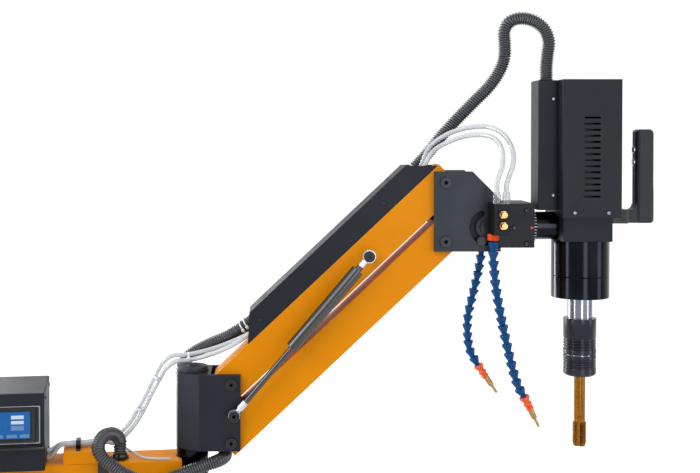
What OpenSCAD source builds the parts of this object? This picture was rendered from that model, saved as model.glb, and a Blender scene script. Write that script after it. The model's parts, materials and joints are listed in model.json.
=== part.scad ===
// Arm tapping machine: a column carries a swinging first arm, a knuckle with a parallel pair
// of lifting links, a tilting and rolling head, and a geared spindle with a quick-change chuck.
// Origin at the centre of the base plate's underside, +X to the right, +Y back, +Z up.

/* [Layout] */
// From the column axis to the knuckle post axis
arm1_len = 400; // [370:5:460]
// Yaw of the first arm at rest
arm1_yaw = 7.4; // [0:0.2:12]
// Height of the first arm's top face above the base
arm_top_z = 460; // [420:5:520]
// Length of each parallel link between its pivots
link_len = 500; // [450:5:560]
// Angle of the links above level at rest
link_angle = 43.3; // [38:0.1:46]
// Height between the upper and the lower link pivots
pivot_gap = 100; // [96:1:110]

/* [Base and column] */
// Width and depth of the base plate
base_w = 200; // [180:5:260]
// Thickness of the base plate
base_t = 20; // [12:1:30]
// Corner radius of the base plate
base_corner_r = 12; // [5:1:15]
// Radius of each mounting hole
base_hole_r = 7; // [4.5:0.5:9]
// Spacing of the mounting holes
base_hole_span = 160; // [150:2:168]
// Width of the square column tube
column_w = 120; // [100:2:130]
// Wall of the column tube
column_wall = 6; // [4:0.5:10]
// Thickness of the column's closing plate
column_cap_t = 12; // [8:1:20]
// Thickness of each foot gusset
gusset_t = 8; // [5:1:12]
// Height of each foot gusset
gusset_h = 90; // [50:5:140]
// Radius of the pivot shaft on the column
shaft_r = 20; // [15:1:25]
// Radius of the pivot shaft's bolted flange
shaft_flange_r = 45; // [38:1:50]
// Thickness of the pivot shaft's flange
shaft_flange_t = 10; // [6:1:14]

/* [First arm] */
// Width of the first arm's box beam
arm_w = 75; // [66:1:90]
// Height of the first arm's box beam
arm_h = 85; // [75:1:100]
// Wall of the box beam
arm_wall = 5; // [3:0.5:8]
// Radius of the rear hub round the column shaft
rear_hub_r = 55; // [48:1:60]
// Outer radius of the shaft bearings
arm_bearing_r = 32; // [29:1:36]
// Height of each shaft bearing
arm_bearing_h = 18; // [12:1:22]
// Thickness of the closed top of the rear hub
rear_hub_top_t = 8; // [5:1:12]
// Gap between the arm and the shaft's flange
turn_gap = 2; // [1:0.5:4]
// Radius of the black front hub
front_hub_r = 28; // [26:1:32]
// Height of the front hub above the arm
front_hub_rise = 16; // [12:1:24]
// Radius of the grub screw hole in the front hub
hub_grub_r = 2.6; // [1.5:0.1:4]
// Radius of the knuckle post
post_r = 15; // [12:1:17]
// From the column axis to the raised saddle block
saddle_at = 180; // [170:1:186]
// Length of the saddle block
saddle_len = 61; // [40:1:66]
// Height of the saddle block
saddle_h = 20; // [12:1:28]

/* [Cable fittings] */
// From the column axis to the conduit gland
gland_at = 275; // [268:1:282]
// Offset of the gland to the front
gland_side = 14; // [10:1:18]
// Across-corners radius of the gland's nut
gland_nut_r = 15; // [13:0.5:18]
// Height of the gland's nut
gland_nut_h = 6; // [4:0.5:10]
// Radius of the gland's collar
gland_collar_r = 12.5; // [11.5:0.5:14]
// Height of the gland's collar above its nut
gland_collar_h = 4; // [3:0.5:8]
// Width of the clamp block on the arm's front
clamp_w = 19; // [14:1:26]
// Depth of the clamp block on the arm's front
clamp_d = 13; // [9:1:18]
// Height of the clamp block on the arm's front
clamp_h = 26; // [18:1:34]
// Clamp block's top above the arm
clamp_rise = 8; // [4:1:12]
// Half the height of the black cable clip's band
clip_r = 7; // [6.6:0.1:8]
// Width of the cable clip's band over its tubes
clip_span = 28; // [26:0.5:34]
// Width of the cable clip's band
clip_w = 8; // [5:1:12]
// Thickness of the cable clip's band
clip_t = 1.6; // [1:0.1:2]

/* [Control box] */
// Width of the control box
box_w = 140; // [124:2:160]
// Depth of the control box
box_d = 150; // [120:2:170]
// Height of the control box
box_h = 129; // [118:1:150]
// Wall of the control box
box_wall = 4; // [2:0.5:6]
// From the column axis to the box's right side
box_right = 152; // [146:1:160]
// Height of the dark lower housing
box_plinth_h = 42; // [32:1:44]
// Setback of the lower housing under the ledge
box_setback = 6; // [3:1:10]
// Height of the slanted edge over the panel
box_brow = 14; // [8:1:18]
// Width of the silver screen frame
screen_w = 112; // [90:1:118]
// Height of the silver screen frame
screen_h = 59; // [50:1:62]
// Width of the frame's border
screen_border = 5; // [3:0.5:8]
// Thickness of the screen frame
screen_t = 3; // [2:0.5:5]
// Screen's centre above the box's bottom
screen_rise = 79; // [78:1:82]
// Width of the power inlet's opening
inlet_w = 24; // [20:1:28]
// Height of the power inlet's opening
inlet_h = 17; // [14:1:20]
// Depth of the power inlet's opening
inlet_depth = 14; // [10:1:18]
// Width of the power panel
power_w = 60; // [54:1:70]
// Height of the power panel
power_h = 34; // [30:1:40]
// Width of the rocker switch
rocker_w = 12; // [8:1:14]
// Height of the rocker switch
rocker_h = 20; // [16:1:24]

/* [Knuckle] */
// Height of the knuckle
knuckle_h = 130; // [126:1:145]
// Outer width over the knuckle's cheeks
yoke_w = 90; // [86:1:100]
// Thickness of each cheek and each head plate
cheek_t = 9; // [7:0.5:10]
// From the post axis to the link pivots
pivot_x = 68.8; // [67:0.2:74]
// From the pivots to the free edge of the cheeks
cheek_reach = 15.5; // [13:0.5:20]
// Lower link pivot above the knuckle's underside
lower_pivot_rise = 14; // [12:0.5:16]
// From the post axis to the web between the cheeks
web_x = 33.5; // [31:0.5:33.5]
// Outer radius of the post bearings
post_bearing_r = 22; // [19:0.5:23]
// Height of each post bearing
post_bearing_h = 16; // [10:1:24]
// Radius of the cap over the post
cap_r = 28; // [26:1:30]
// Height of each of the cap's two layers
cap_layer_h = 4; // [3:0.5:6]
// Radius of the link pivot pins
pin_r = 8; // [6:0.5:9]
// Radius of the black bolt heads
bolt_head_r = 9.4; // [8.6:0.2:11]
// Height of the black bolt heads
bolt_head_h = 5; // [3:0.5:7]
// Corner radius of the bolts' sockets
socket_r = 3.6; // [2.5:0.1:5]
// Depth of the bolts' hexagon sockets
socket_depth = 2.6; // [1.5:0.1:2.8]

/* [Links] */
// Width of each link beam
beam_w = 70; // [60:1:71]
// Height of each link beam
beam_h = 56; // [48:1:58]
// Height of the upper beam's top over its pivots
upper_over = 29; // [26:0.5:30]
// Height of the lower beam's top over its pivots
lower_over = 34; // [26:0.5:34]
// Overhang of the upper beam past its pivots
upper_overhang = 14; // [12:0.5:15]
// Overhang of the lower beam past its pivots
lower_overhang = 12; // [11:0.1:12.4]
// Wall of the link beams
beam_wall = 4; // [3:0.5:6]
// Length of the solid pivot block in each beam end
beam_block = 24; // [18:1:36]
// Outer radius of the pivot bushes
bush_r = 10; // [9:0.1:10.8]
// Length of each pivot bush
bush_len = 20; // [12:1:28]
// From the pivots to the cable cover's lower corner
cover_start = 66; // [58:1:80]
// Overhang of the cover past the upper pivots
cover_overhang = 11; // [6:1:13]
// Height of the cable cover over the beam
cover_h = 38; // [36:1:44]
// Sheet thickness of the cable cover
cover_t = 2; // [1:0.2:3]
// Length of the slots in the cable cover's top
cover_slot_len = 12; // [8:1:18]
// Width of the slots in the cable cover's top
cover_slot_w = 6; // [4:0.5:8]

/* [Gas spring] */
// From the upper link's lower pivot to the spring's stud
stud_along = 320; // [310:1:330]
// From the link pivots to the knuckle's spring stud
stud_x = 5.3; // [4:0.1:7]
// Drop of the spring stud under the upper pivot
stud_drop = 49.3; // [46:0.1:52]
// Spring's axis in front of the cheeks
spring_out = 15; // [14.5:0.1:17]
// Radius of the spring's studs
stud_r = 3; // [2.5:0.1:3.4]
// Radius of the spring's tube
tube_r = 11; // [9:0.5:13]
// Length of the spring's tube
tube_len = 171; // [150:1:180]
// Length of the collar at the rod's end of the tube
collar_len = 25; // [15:1:35]
// Radius of the spring's rod
rod_r = 5; // [4:0.5:6]
// Radius of each zinc eye
eye_r = 10; // [9.6:0.1:11]
// Thickness of each zinc eye
eye_t = 9; // [7:0.5:10]
// From each eye's centre to the end of its shank
eye_reach = 30; // [26:1:36]
// Radius of each eye's shank
shank_r = 6; // [5.5:0.5:8]
// Room round the upper stud, where the linkage is opened
open_room = 4.1; // [3.9:0.1:4.3]

/* [Head bracket] */
// From the bracket pivots to the plates' left edge
plate_left = 19; // [17:0.5:20]
// Plates' top over the upper bracket pivot
plate_over = 19; // [17:0.5:24]
// Plates' foot under the lower bracket pivot
plate_under = 17; // [14:0.5:24]
// Size of the plates' slanted upper corner
plate_chamfer = 48; // [40:1:52]
// From the bracket pivots to the tilt pivot
tilt_dx = 71; // [70.5:0.5:80]
// Tilt pivot over the lower bracket pivot
tilt_rise = 24; // [22:0.5:30]
// From the tilt pivot to the plates' right edge
plate_right = 23; // [20:0.5:26]
// Radius of the tilt slot's centre line
slot_arc_r = 25; // [24:0.5:27]
// Width of the tilt slot
slot_w = 11; // [9:0.5:12]
// Direction of the tilt slot's upper end
slot_high_deg = 112; // [100:1:160]
// Direction of the lock bolt at rest
lock_deg = 245; // [238:1:250]
// Swing left from the lock bolt to the slot's lower end
slot_spare_deg = 23; // [21:1:26]
// Radius of the tilt pivot pin
tilt_pin_r = 10; // [8:0.5:11]
// Radius of the tilt pivot's boss
tilt_boss_r = 13; // [12:0.5:14]
// Radius of the lock bolt's shank
lock_r = 4.5; // [3.5:0.1:4.6]
// Radius of the lock bolt's disc head
lock_head_r = 8; // [7:0.5:9]

/* [Tilt unit] */
// From the tilt pivot to the tilt block's right face
tilt_reach = 79; // [76:1:88]
// Height of the tilt block over the pivot
tilt_over = 41; // [36:1:42]
// Drop of the tilt block under the pivot
tilt_under = 34; // [32:1:36]
// Thickness of the tilt unit's side plates
side_plate_t = 5; // [4:0.5:7]
// From the tilt pivot to the side plates' left edge
side_plate_from = 18; // [16:0.5:20]
// Width of the valve block
valve_w = 27; // [24:0.5:30]
// Depth of the valve block
valve_d = 54; // [48:1:60]
// Height of the valve block
valve_h = 52; // [46:1:56]
// Valve block's underside under the tilt pivot
valve_drop = 9; // [6:1:12]
// Spacing of the two brass knobs
knob_gap = 18.4; // [17:0.2:21]
// Radius of a brass knob's hexagon
knob_hex_r = 6.6; // [5.5:0.1:7]
// Radius of a brass knob's stem
knob_stem_r = 4.6; // [3.5:0.1:5]
// Length of a brass knob
knob_len = 20; // [14:1:24]
// Radius of a clear push-in fitting
fitting_r = 6.5; // [5.5:0.1:7]
// Height of a clear push-in fitting
fitting_h = 19.9; // [16:0.1:22]
// Distance between the two clear fittings
fitting_gap = 16; // [14.5:0.5:18]
// Width of the rear outlet block
outlet_w = 26; // [24:1:30]
// Depth of the rear outlet block
outlet_d = 30; // [24:1:34]
// Height of the rear outlet block
outlet_h = 26; // [20:1:32]
// Drop of the rear outlet under the tilt pivot
outlet_drop = 12; // [8:1:16]

/* [Coolant hoses] */
// Outer radius of a hose segment's skirt
hose_r = 8.8; // [8:0.1:9.6]
// Radius of a hose segment's neck
hose_neck_r = 5.6; // [5:0.1:6.4]
// Radius of a hose's bore
hose_bore_r = 3.2; // [2.5:0.1:4]
// Radius of the ball that a hose swings on
ball_r = 7; // [6.4:0.1:7.4]
// Corner radius of a hose ball's socket
hose_socket_r = 10; // [9.4:0.1:11]
// Height of a hose ball's socket
hose_socket_h = 11; // [10.4:0.1:12.4]
// Pitch of the hose segments
hose_pitch = 16; // [14:0.5:18]
// Radius of a brass nozzle's barrel
nozzle_r = 5; // [4:0.1:6]
// Radius of a brass nozzle's tip
nozzle_tip_r = 2.4; // [1.8:0.1:3]
// Length of a brass nozzle's barrel
nozzle_len = 16; // [12:1:20]
// Length of a brass nozzle's tip
nozzle_tip_len = 18; // [12:1:22]

/* [Head] */
// From the tilt pivot to the spindle axis
head_dx = 170; // [168:0.5:180]
// Radius of the roll shaft
roll_r = 24; // [23:0.5:24.4]
// Radius of the roll shaft's journal in the tilt block
journal_r = 18; // [15:0.5:22]
// Length of the roll shaft's journal
journal_len = 50; // [40:1:54]
// Radius of the degree scale ring
scale_r = 31; // [28:0.5:33]
// Width of the degree scale ring
scale_w = 9; // [6:0.5:10]
// Width of the gear mount block
mount_w = 84; // [80:1:90]
// Depth of the gear mount block
mount_d = 100; // [94:1:106]
// Height of the gear mount block
mount_h = 54; // [52:1:60]
// Drop of the gear mount under the roll axis
mount_drop = 24.4; // [22:0.2:28]
// Width of the motor housing
housing_w = 99; // [98:0.5:104]
// From the spindle axis to the housing's front
housing_front = 68; // [60:1:76]
// From the spindle axis to the housing's back
housing_back = 55; // [54:1:64]
// Height of the motor housing
housing_h = 233; // [222:1:250]
// Housing's lower edge over the roll axis
housing_rise = 17.6; // [14:0.2:20]
// Wall of the motor housing
housing_wall = 2.5; // [1.5:0.1:4]
// Offset of the housing from the spindle axis
housing_shift = 2; // [0:0.5:3]
// Number of vent slots
vent_count = 14; // [8:1:15]
// Pitch of the vent slots
vent_pitch = 10.2; // [8:0.2:10.6]
// Length of a vent slot
vent_len = 27.5; // [20:0.5:40]
// Height of a vent slot
vent_h = 3.4; // [2.4:0.2:5]
// Lowest vent slot over the housing's lower edge
vent_rise = 36; // [30:1:44]
// Width of the servo motor
motor_w = 80; // [70:1:86]
// Height of the servo motor
motor_h = 150; // [120:2:170]
// Width of the cable channel
channel_w = 34; // [30:0.5:35]
// Depth of the cable channel
channel_d = 55; // [48:1:64]
// Setback of the channel behind the housing's front
channel_setback = 35; // [28:1:38]
// Channel's lower edge over the roll axis
channel_rise = 28.6; // [27:0.2:34]
// Radius of the gearbox
gearbox_r = 49.5; // [46:0.5:50]
// Height of the gearbox
gearbox_h = 99; // [90:1:120]
// Gearbox's groove over its lower face
gearbox_groove_rise = 37; // [20:1:60]
// Width and depth of the gearbox's groove
gearbox_groove = 1; // [0.6:0.1:2]

/* [Handle] */
// Width of the handle's clamp block
hclamp_w = 18; // [14:0.5:20]
// Depth of the handle's clamp block
hclamp_d = 30; // [24:1:36]
// Height of the handle's clamp block
hclamp_h = 24; // [20:1:28]
// From the spindle axis to the handle's front
handle_front = 47; // [44:1:50]
// Reach from the housing's side to the grip
handle_reach = 31; // [28:1:40]
// Width of the grip
grip_w = 32; // [28:0.5:36]
// Height of the grip
grip_h = 159; // [140:1:175]
// Height of the handle's lower bar
bar_h = 22; // [18:0.5:26]
// Waist taken out of the grip's outer side
grip_waist = 2; // [0:0.2:3]
// Radius of a push button
button_r = 4; // [3:0.1:5]
// Travel of a push button
button_travel = 1.5; // [1:0.1:2]
// Lower button over the grip's foot
button_rise = 104.5; // [90:0.5:112]
// Spacing of the two push buttons
button_gap = 21; // [18:0.5:24]

/* [Spindle and chuck] */
// Radius of the bright spindle
spindle_r = 21; // [19:0.5:22]
// Visible height of the bright spindle
spindle_h = 37; // [30:1:44]
// Radius of the spindle's journal in the gearbox
spindle_journal_r = 14; // [10:0.5:18]
// Length of the spindle's journal
spindle_journal_len = 60; // [40:1:72]
// Radius of the chuck's body inside its sleeve
chuck_core_r = 24; // [23.5:0.1:25]
// Outer radius of the chuck
chuck_r = 28; // [27:0.5:31]
// Height of the chuck sleeve
sleeve_h = 62; // [58:1:68]
// Travel of the chuck sleeve
sleeve_travel = 6; // [4:0.5:7]
// Gap between the sleeve and the adapter's ring
ring_gap = 2; // [1:0.5:3]
// Height of the adapter's ring
ring_h = 35; // [31:1:38]
// Travel of the adapter's ring
ring_travel = 4; // [3:0.5:5]
// Radius of the adapter's core inside its ring
adapter_core_r = 23; // [21:0.5:24]
// Radius of the adapter's shank inside the chuck
adapter_shank_r = 15.5; // [14:0.5:17]
// Length of the adapter's shank inside the chuck
adapter_shank_len = 35; // [28:1:42]
// Radius of the tap's shank
tap_r = 9; // [7:0.5:10]
// Visible length of the tap
tap_len = 124; // [100:1:140]
// Radius of the tap's thread
tap_thread_r = 12; // [10.5:0.5:14]
// Length of the tap's thread
tap_thread_len = 43; // [30:1:56]
// Radius of a flute in the tap's thread
flute_r = 4.4; // [3.4:0.1:5]

/* [Conduits and tubes] */
// Outer radius of the ribbed conduits
conduit_r = 11; // [10:0.1:11.2]
// Radius of the ribbed conduits' valleys
conduit_valley_r = 9.4; // [8.8:0.1:10]
// Radius of the ribbed conduits' bore
conduit_bore_r = 8; // [7:0.1:8.6]
// Number of ribs on the lower conduit
lower_ribs = 92; // [60:1:100]
// Number of ribs on the upper conduit
upper_ribs = 70; // [50:1:76]
// Outer radius of the clear tubes
clear_r = 4; // [3:0.1:4]
// Outer radius of the thin clear tube
thin_r = 2.3; // [1.5:0.1:2.4]

/* [Fits] */
// Radial clearance of a running fit
run_fit = 0.05; // [0.02:0.01:0.08]
// Clearance between sliding faces
face_gap = 0.3; // [0.2:0.05:0.4]

/* [Hidden] */

// Colours
yellow = "orange";
black = "#2b2d31";
satin = "#1c1d20";
steel = "silver";
zinc = "#c9ccd0";
bronze = "#a9824c";
brass = "#c79a4b";
gold = "#b8862f";
blue = "#17508c";
orange = "#f0641e";
clear = "#d7e2e6";

// Overrun that lets a cut pass its faces
over = 1;

// Facets of the round parts
$fn = 48;
// Sides of the swept cords
cord_n = 8;
// Samples between two points of a cord's route
cord_steps = 10;

// Share of a bearing's height that it is set in by
bearing_seat_share = 0.25;

// Heights on the column and the first arm
arm_bottom_z = arm_top_z - arm_h;
column_top_z = arm_bottom_z - turn_gap - shaft_flange_t;
shaft_top_z = arm_top_z - rear_hub_top_t - turn_gap;
knuckle_low_z = arm_top_z + front_hub_rise + face_gap * 2;
knuckle_top_z = knuckle_low_z + knuckle_h;

// Places of the pivots, seen from the knuckle post
post_x = arm1_len * cos(arm1_yaw);
post_y = arm1_len * sin(arm1_yaw);
lower_pivot_z = knuckle_low_z + lower_pivot_rise;
upper_pivot_z = lower_pivot_z + pivot_gap;
bracket_x = pivot_x + link_len * cos(link_angle);
bracket_low_z = lower_pivot_z + link_len * sin(link_angle);
tilt_x = bracket_x + tilt_dx;
tilt_z = bracket_low_z + tilt_rise;

// Half widths across the yokes
yoke_half = yoke_w / 2;
slot_half = yoke_half - cheek_t;
beam_half = beam_w / 2;

// Gas spring, from the knuckle's stud to the link's stud
stud_dx = stud_along * cos(link_angle) - stud_x;
stud_dz = stud_along * sin(link_angle) + stud_drop;
spring_len = norm([stud_dx, stud_dz]);
spring_angle = atan2(stud_dz, stud_dx);
spring_y = -yoke_half - spring_out;
spring_wall = 1.4;
piston_h = 8;
// Rod left inside the tube at rest
rod_inside = 100;
tube_from = spring_len - eye_reach - tube_len;

// Tilt unit
core_half = slot_half - face_gap;
turn_room = 2.5;
wide_clear_r = turn_room
    + norm([plate_right, pivot_gap + plate_over - plate_chamfer - tilt_rise]);
wide_half = yoke_half + face_gap;
side_face = wide_half + side_plate_t;
tilt_mid_z = (tilt_over - tilt_under) / 2;

// Head, seen from the tilt pivot
head_mid = head_dx + housing_shift;
housing_left = head_mid - housing_w / 2;
housing_right = head_mid + housing_w / 2;
housing_top = housing_rise + housing_h;
mount_left = head_dx - mount_w / 2;
mount_right = head_dx + mount_w / 2;
mount_top = mount_h - mount_drop;
gearbox_bottom = -mount_drop - gearbox_h;
spindle_bottom = gearbox_bottom - spindle_h;
sleeve_bottom = spindle_bottom - sleeve_h;
ring_top = sleeve_bottom - ring_gap;
ring_bottom = ring_top - ring_h;
tap_tip = ring_bottom - tap_len;
chuck_wall = chuck_core_r - adapter_shank_r;
handle_back = handle_front - hclamp_d;
handle_mid = (handle_front + handle_back) / 2;
bar_drop_share = 0.5;
handle_bottom = housing_rise - bar_h * bar_drop_share;
grip_left = housing_right + handle_reach;
grip_right = grip_left + grip_w;
grip_r = 9;

// Depths of small details
grub_depth = 8;
hex_fn = 6;
knob_flange_share = 0.4;
button_seat = 7;
button_proud = 2;
ring_rib = 1.2;
rib_pitch = 5;
fine_rib_pitch = 4;
chamfer_s = 3;

// Conduit and tube routes, in whole millimetres chosen along the photographed lines
lower_route = [[274.5, 21.5, 470.2], [274.5, 21.5, 481], [274.5, 21.5, 492], [266, 10, 506],
    [253, -5, 508], [245, -20, 500], [246, -33, 488], [256, -39, 476], [271, -41, 465],
    [290, -40, 452], [318, -34, 439], [352, -20, 434], [386, -4, 443], [418, 2, 453],
    [442, 12, 459], [453, 34, 460], [454, 62, 460], [449, 88, 460], [441, 107, 466],
    [430, 118, 482], [414, 121, 505], [395, 120, 532], [380, 117, 560], [373, 113, 590],
    [382, 105, 615], [401, 97, 631], [428, 87, 646], [455, 77, 659], [480, 70, 675],
    [503, 65, 693], [521, 64, 710]];
upper_route = [[753.2, 64, 928.8], [775, 63.5, 949], [794, 61, 969], [812, 59, 990],
    [829, 57, 1012], [856, 54, 1042], [885, 51, 1072], [911, 48, 1099], [928, 46, 1125],
    [936, 44, 1149], [936, 42, 1172], [935, 40, 1193], [944, 38, 1209], [963, 36, 1215],
    [985, 35, 1210], [1002, 34, 1196], [1010, 34, 1176], [1008, 34, 1154], [1006, 34, 1132],
    [1006, 34, 1120], [1006, 34, 1108.4]];
tube_a_route = [[152, 14.8, 477], [158, 15.6, 477.5], [166, 17, 482], [174, 19.6, 487],
    [188, 24, 487], [202.8, 27.6, 487], [218, 31, 487.5], [232, 34, 489], [265, 41.5, 496],
    [288, 44, 516], [305, 45, 544], [319, 46, 571], [332, 47, 597], [344, 48, 618],
    [362, 49, 632], [391, 50, 634], [427, 46, 643], [462, 42, 656], [494, 40, 671],
    [512, 40, 684]];
tube_b_route = [[153.2, 5.6, 467], [159, 6.4, 467.5], [165, 7.6, 475], [171, 9.6, 484],
    [180, 12.6, 488], [192, 16, 487], [204, 18.8, 487], [218, 21.5, 487.3], [232, 25, 488],
    [250, 32, 487], [268, 39, 485], [296, 41, 512], [313, 42, 540], [327, 43, 568],
    [340, 44, 592], [351, 45, 610], [368, 46, 622.5], [391, 46, 625], [428, 37, 636],
    [464, 31, 652], [494, 30, 671], [512, 30, 684]];
thin_route = [[150.6, 26.2, 470], [157, 27.1, 470.5], [164, 28.4, 475], [171, 30, 482],
    [180, 32, 485.5], [190, 33.5, 487], [201.9, 34.5, 487], [214, 37, 487], [240, 44, 487],
    [262, 50, 484], [286, 38, 472], [314, 18, 464], [340, 12, 463], [362, 13, 463]];
outer_arc_route = [[761.2, 40, 918.8], [777, 40, 934], [792, 39, 962], [808, 36, 996],
    [847, 26, 1021], [892, 6, 1029], [919, -14, 1019], [933, -27, 996], [935, -36, 970],
    [926, -39.8, 943], [923, -39.8, 932], [923, -39.8, 920.7]];
inner_arc_route = [[761.2, 30, 918.8], [777, 30, 934], [794, 29, 958], [812, 26, 988],
    [850, 14, 1009], [884, -4, 1015], [906, -20, 1009], [917, -31, 990], [916, -38, 962],
    [909, -39.8, 943], [907, -39.8, 932], [907, -39.8, 920.7]];

// Side and height of each line's lane over the upper link, and where it enters and ends there
conduit_lane = [12.5, 48.8];
tube_lanes = [[-11.5, 36.1], [-21.5, 36.1]];
conduit_mouth = 122.3;
tube_mouth = 97.9;
conduit_end = link_len - 58.9;
tube_end = link_len - 60;
channel_inset = 15.5;

// Coolant hose routes, seen from the tilt pivot
front_hose_route = [[6.5, -64.5, -23.5], [6.5, -64.5, -37.5], [6.5, -64.5, -54.5],
    [11.5, -64.5, -104.5], [23.5, -64.5, -168.5], [38.5, -63.5, -232.5], [48.5, -62.5, -264.5],
    [59.5, -59.5, -284.5], [71.5, -55.5, -307.5]];
rear_hose_route = [[11.5, 65.5, -26.5], [10.5, 65.5, -39.5], [9.5, 65.5, -57.5],
    [4.5, 65.5, -88.5], [-2.5, 65.5, -118.5], [-12.5, 65.5, -161.5], [-14.5, 65.5, -189.5],
    [-11.5, 65.5, -222.5], [-4.5, 65.5, -239.5], [4.5, 65.5, -255.5], [19.5, 65.5, -277.5]];
// Length of the orange end at each end of a hose
hose_end_len = 26;

function blend_at(a, b, c, d, t) = (2 * b + (c - a) * t
    + (2 * a - 5 * b + 4 * c - d) * t * t + (3 * b - a - 3 * c + d) * t * t * t) / 2;

function smooth(p) = let (n = len(p) - 1)
    [for (i = [0:n - 1], k = [0:cord_steps - 1])
        blend_at(p[max(i - 1, 0)], p[i], p[i + 1], p[min(i + 2, n)], k / cord_steps), p[n]];

// A route shifted so that its ends stay on their exits
function pinned(p, a, b) = let (n = len(p) - 1)
    [for (i = [0:n]) p[i] + (a - p[0]) * (n - i) / n + (b - p[n]) * i / n];

function arm_place(a, b, z) = [a * cos(arm1_yaw) - b * sin(arm1_yaw),
    a * sin(arm1_yaw) + b * cos(arm1_yaw), z];
function link_place(u, lane) = [post_x + pivot_x + u * cos(link_angle) - lane[1] * sin(link_angle),
    post_y + lane[0], upper_pivot_z + u * sin(link_angle) + lane[1] * cos(link_angle)];
function tilt_place(v) = [post_x + tilt_x, post_y, tilt_z] + v;

function runs(c) = [for (i = 0, s = 0; i < len(c);
    s = s + norm(c[min(i + 1, len(c) - 1)] - c[i]), i = i + 1) s];

function along(c, s, at) = [for (a = [0:2])
    lookup(at, [for (i = [0:len(c) - 1]) [s[i], c[i][a]]])];

function unit(v) = v / norm(v);

function square_to(t) = unit(cross(t, abs(t.z) > 0.9 ? [1, 0, 0] : [0, 0, 1]));

// Frames carried along the stations without twist: each is [place, tangent, side]
function carried(places) = [for (i = 0, last = len(places) - 1,
        t = unit(places[1] - places[0]), side = square_to(t);
    i <= last;
    i = i + 1,
        t = i > last ? t : unit(places[min(i + 1, last)] - places[i - 1]),
        side = i > last ? side : unit(side - (side * t) * t))
    [places[i], t, side]];

function ring(f, r, sides) = [for (k = [0:sides - 1])
    f[0] + r * (cos(360 * k / sides) * f[2] + sin(360 * k / sides) * cross(f[1], f[2]))];

// A hollow tube with outer rings from [run, radius] pairs and a bore
module hollow_tube(c, outer, bore_r, bore_rings) {
    s = runs(c);
    total = s[len(s) - 1];
    out_frames = carried([for (o = outer) along(c, s, o[0])]);
    in_frames = carried([for (k = [0:bore_rings]) along(c, s, total * k / bore_rings)]);
    rings = concat([for (i = [0:len(outer) - 1]) ring(out_frames[i], outer[i][1], cord_n)],
        [for (i = [bore_rings:-1:0]) ring(in_frames[i], bore_r, cord_n)]);
    closed_rings(rings);
}

module closed_rings(rings) {
    n = len(rings);
    faces = [for (i = [0:n - 1], k = [0:cord_n - 1])
        let (a = i * cord_n + k, b = i * cord_n + (k + 1) % cord_n,
            c = ((i + 1) % n) * cord_n + (k + 1) % cord_n,
            d = ((i + 1) % n) * cord_n + k)
        each [[a, b, c], [a, c, d]]];
    polyhedron([for (r = rings) each r], [for (f = faces) [f[2], f[1], f[0]]]);
}

// A plain solid tube with a ring every few diameters and one close to each end
module plain_tube(c, r) {
    s = runs(c);
    total = s[len(s) - 1];
    inner = ceil(total / (r * 5));
    count = inner + 2;
    at = concat([0], [for (k = [0:inner]) r + (total - 2 * r) * k / inner], [total]);
    frames = carried([for (run = at) along(c, s, run)]);
    points = [for (f = frames) each ring(f, r, cord_n)];
    sides = [for (i = [0:count - 1], k = [0:cord_n - 1])
        let (a = i * cord_n + k, b = i * cord_n + (k + 1) % cord_n)
        each [[a, b + cord_n, b], [a, a + cord_n, b + cord_n]]];
    first = [for (k = [0:cord_n - 1]) k];
    last = [for (k = [cord_n - 1:-1:0]) count * cord_n + k];
    polyhedron(points, concat(sides, [first, last]));
}

// Ribs over the free stretch, and plain ends
module ribbed_conduit(c, ribs, free_run) {
    s = runs(c);
    total = s[len(s) - 1];
    first = conduit_r * 2;
    pitch = (free_run - first * 2) / ribs;
    valleys = [for (k = [0:ribs - 1]) each [[first + k * pitch, conduit_valley_r],
        [first + (k + 1 / 2) * pitch, conduit_r]]];
    outer = concat([[0, conduit_valley_r]], valleys,
        [[free_run - first, conduit_valley_r], [total, conduit_valley_r]]);
    hollow_tube(c, outer, conduit_bore_r, ceil(total / (first * 1)));
}

module in_arm() rotate([0, 0, arm1_yaw]) children();
module at_post() translate([post_x, post_y, 0]) children();
module in_link(z) at_post() translate([pivot_x, 0, z]) rotate([0, -link_angle, 0]) children();
module at_bracket() at_post() translate([bracket_x, 0, bracket_low_z]) children();
module at_tilt() at_post() translate([tilt_x, 0, tilt_z]) children();
module at_head() at_tilt() translate([head_dx, 0, 0]) children();
module across(y) translate([0, y, 0]) rotate([-90, 0, 0]) children();
module both_sides() for (side = [1, -1]) scale([1, side, 1]) children();
module along_x() rotate([0, 90, 0]) children();

// A box given by its low corner and its high corner
module span(low, high) translate(low) cube(high - low);

// A round bar along Y between two places
module bar_y(r, from, to) across(from) cylinder(r = r, h = to - from);

// A bolt head facing the viewer, its inner face at y
module bolt_head_front(y) {
    difference() {
        bar_y(bolt_head_r, y - bolt_head_h, y);
        across(y - bolt_head_h - over) cylinder(r = socket_r, h = socket_depth + over, $fn = hex_fn);
    }
}

// A flat plate in the XZ plane from one Y to another
module plate_xz(y_from, y_to) translate([0, y_to, 0]) rotate([90, 0, 0])
    linear_extrude(y_to - y_from) children();

module obround(length, width) {
    square([length - width, width], center = true);
    for (side = [1, -1]) translate([side * (length - width) / 2, 0]) circle(d = width, $fn = 24);
}

module rounded_square(w, d, r) {
    square([w - 2 * r, d], center = true);
    square([w, d - 2 * r], center = true);
    for (x = [1, -1], y = [1, -1]) translate([x * (w / 2 - r), y * (d / 2 - r)])
        circle(r = r, $fn = 32);
}

// Base and column

module base_plate() color(black) difference() {
    linear_extrude(base_t) rounded_square(base_w, base_w, base_corner_r);
    for (x = [1, -1], y = [1, -1]) translate([x, y, 0] * base_hole_span / 2 - [0, 0, over])
        cylinder(r = base_hole_r, h = base_t + 2 * over);
}

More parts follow.
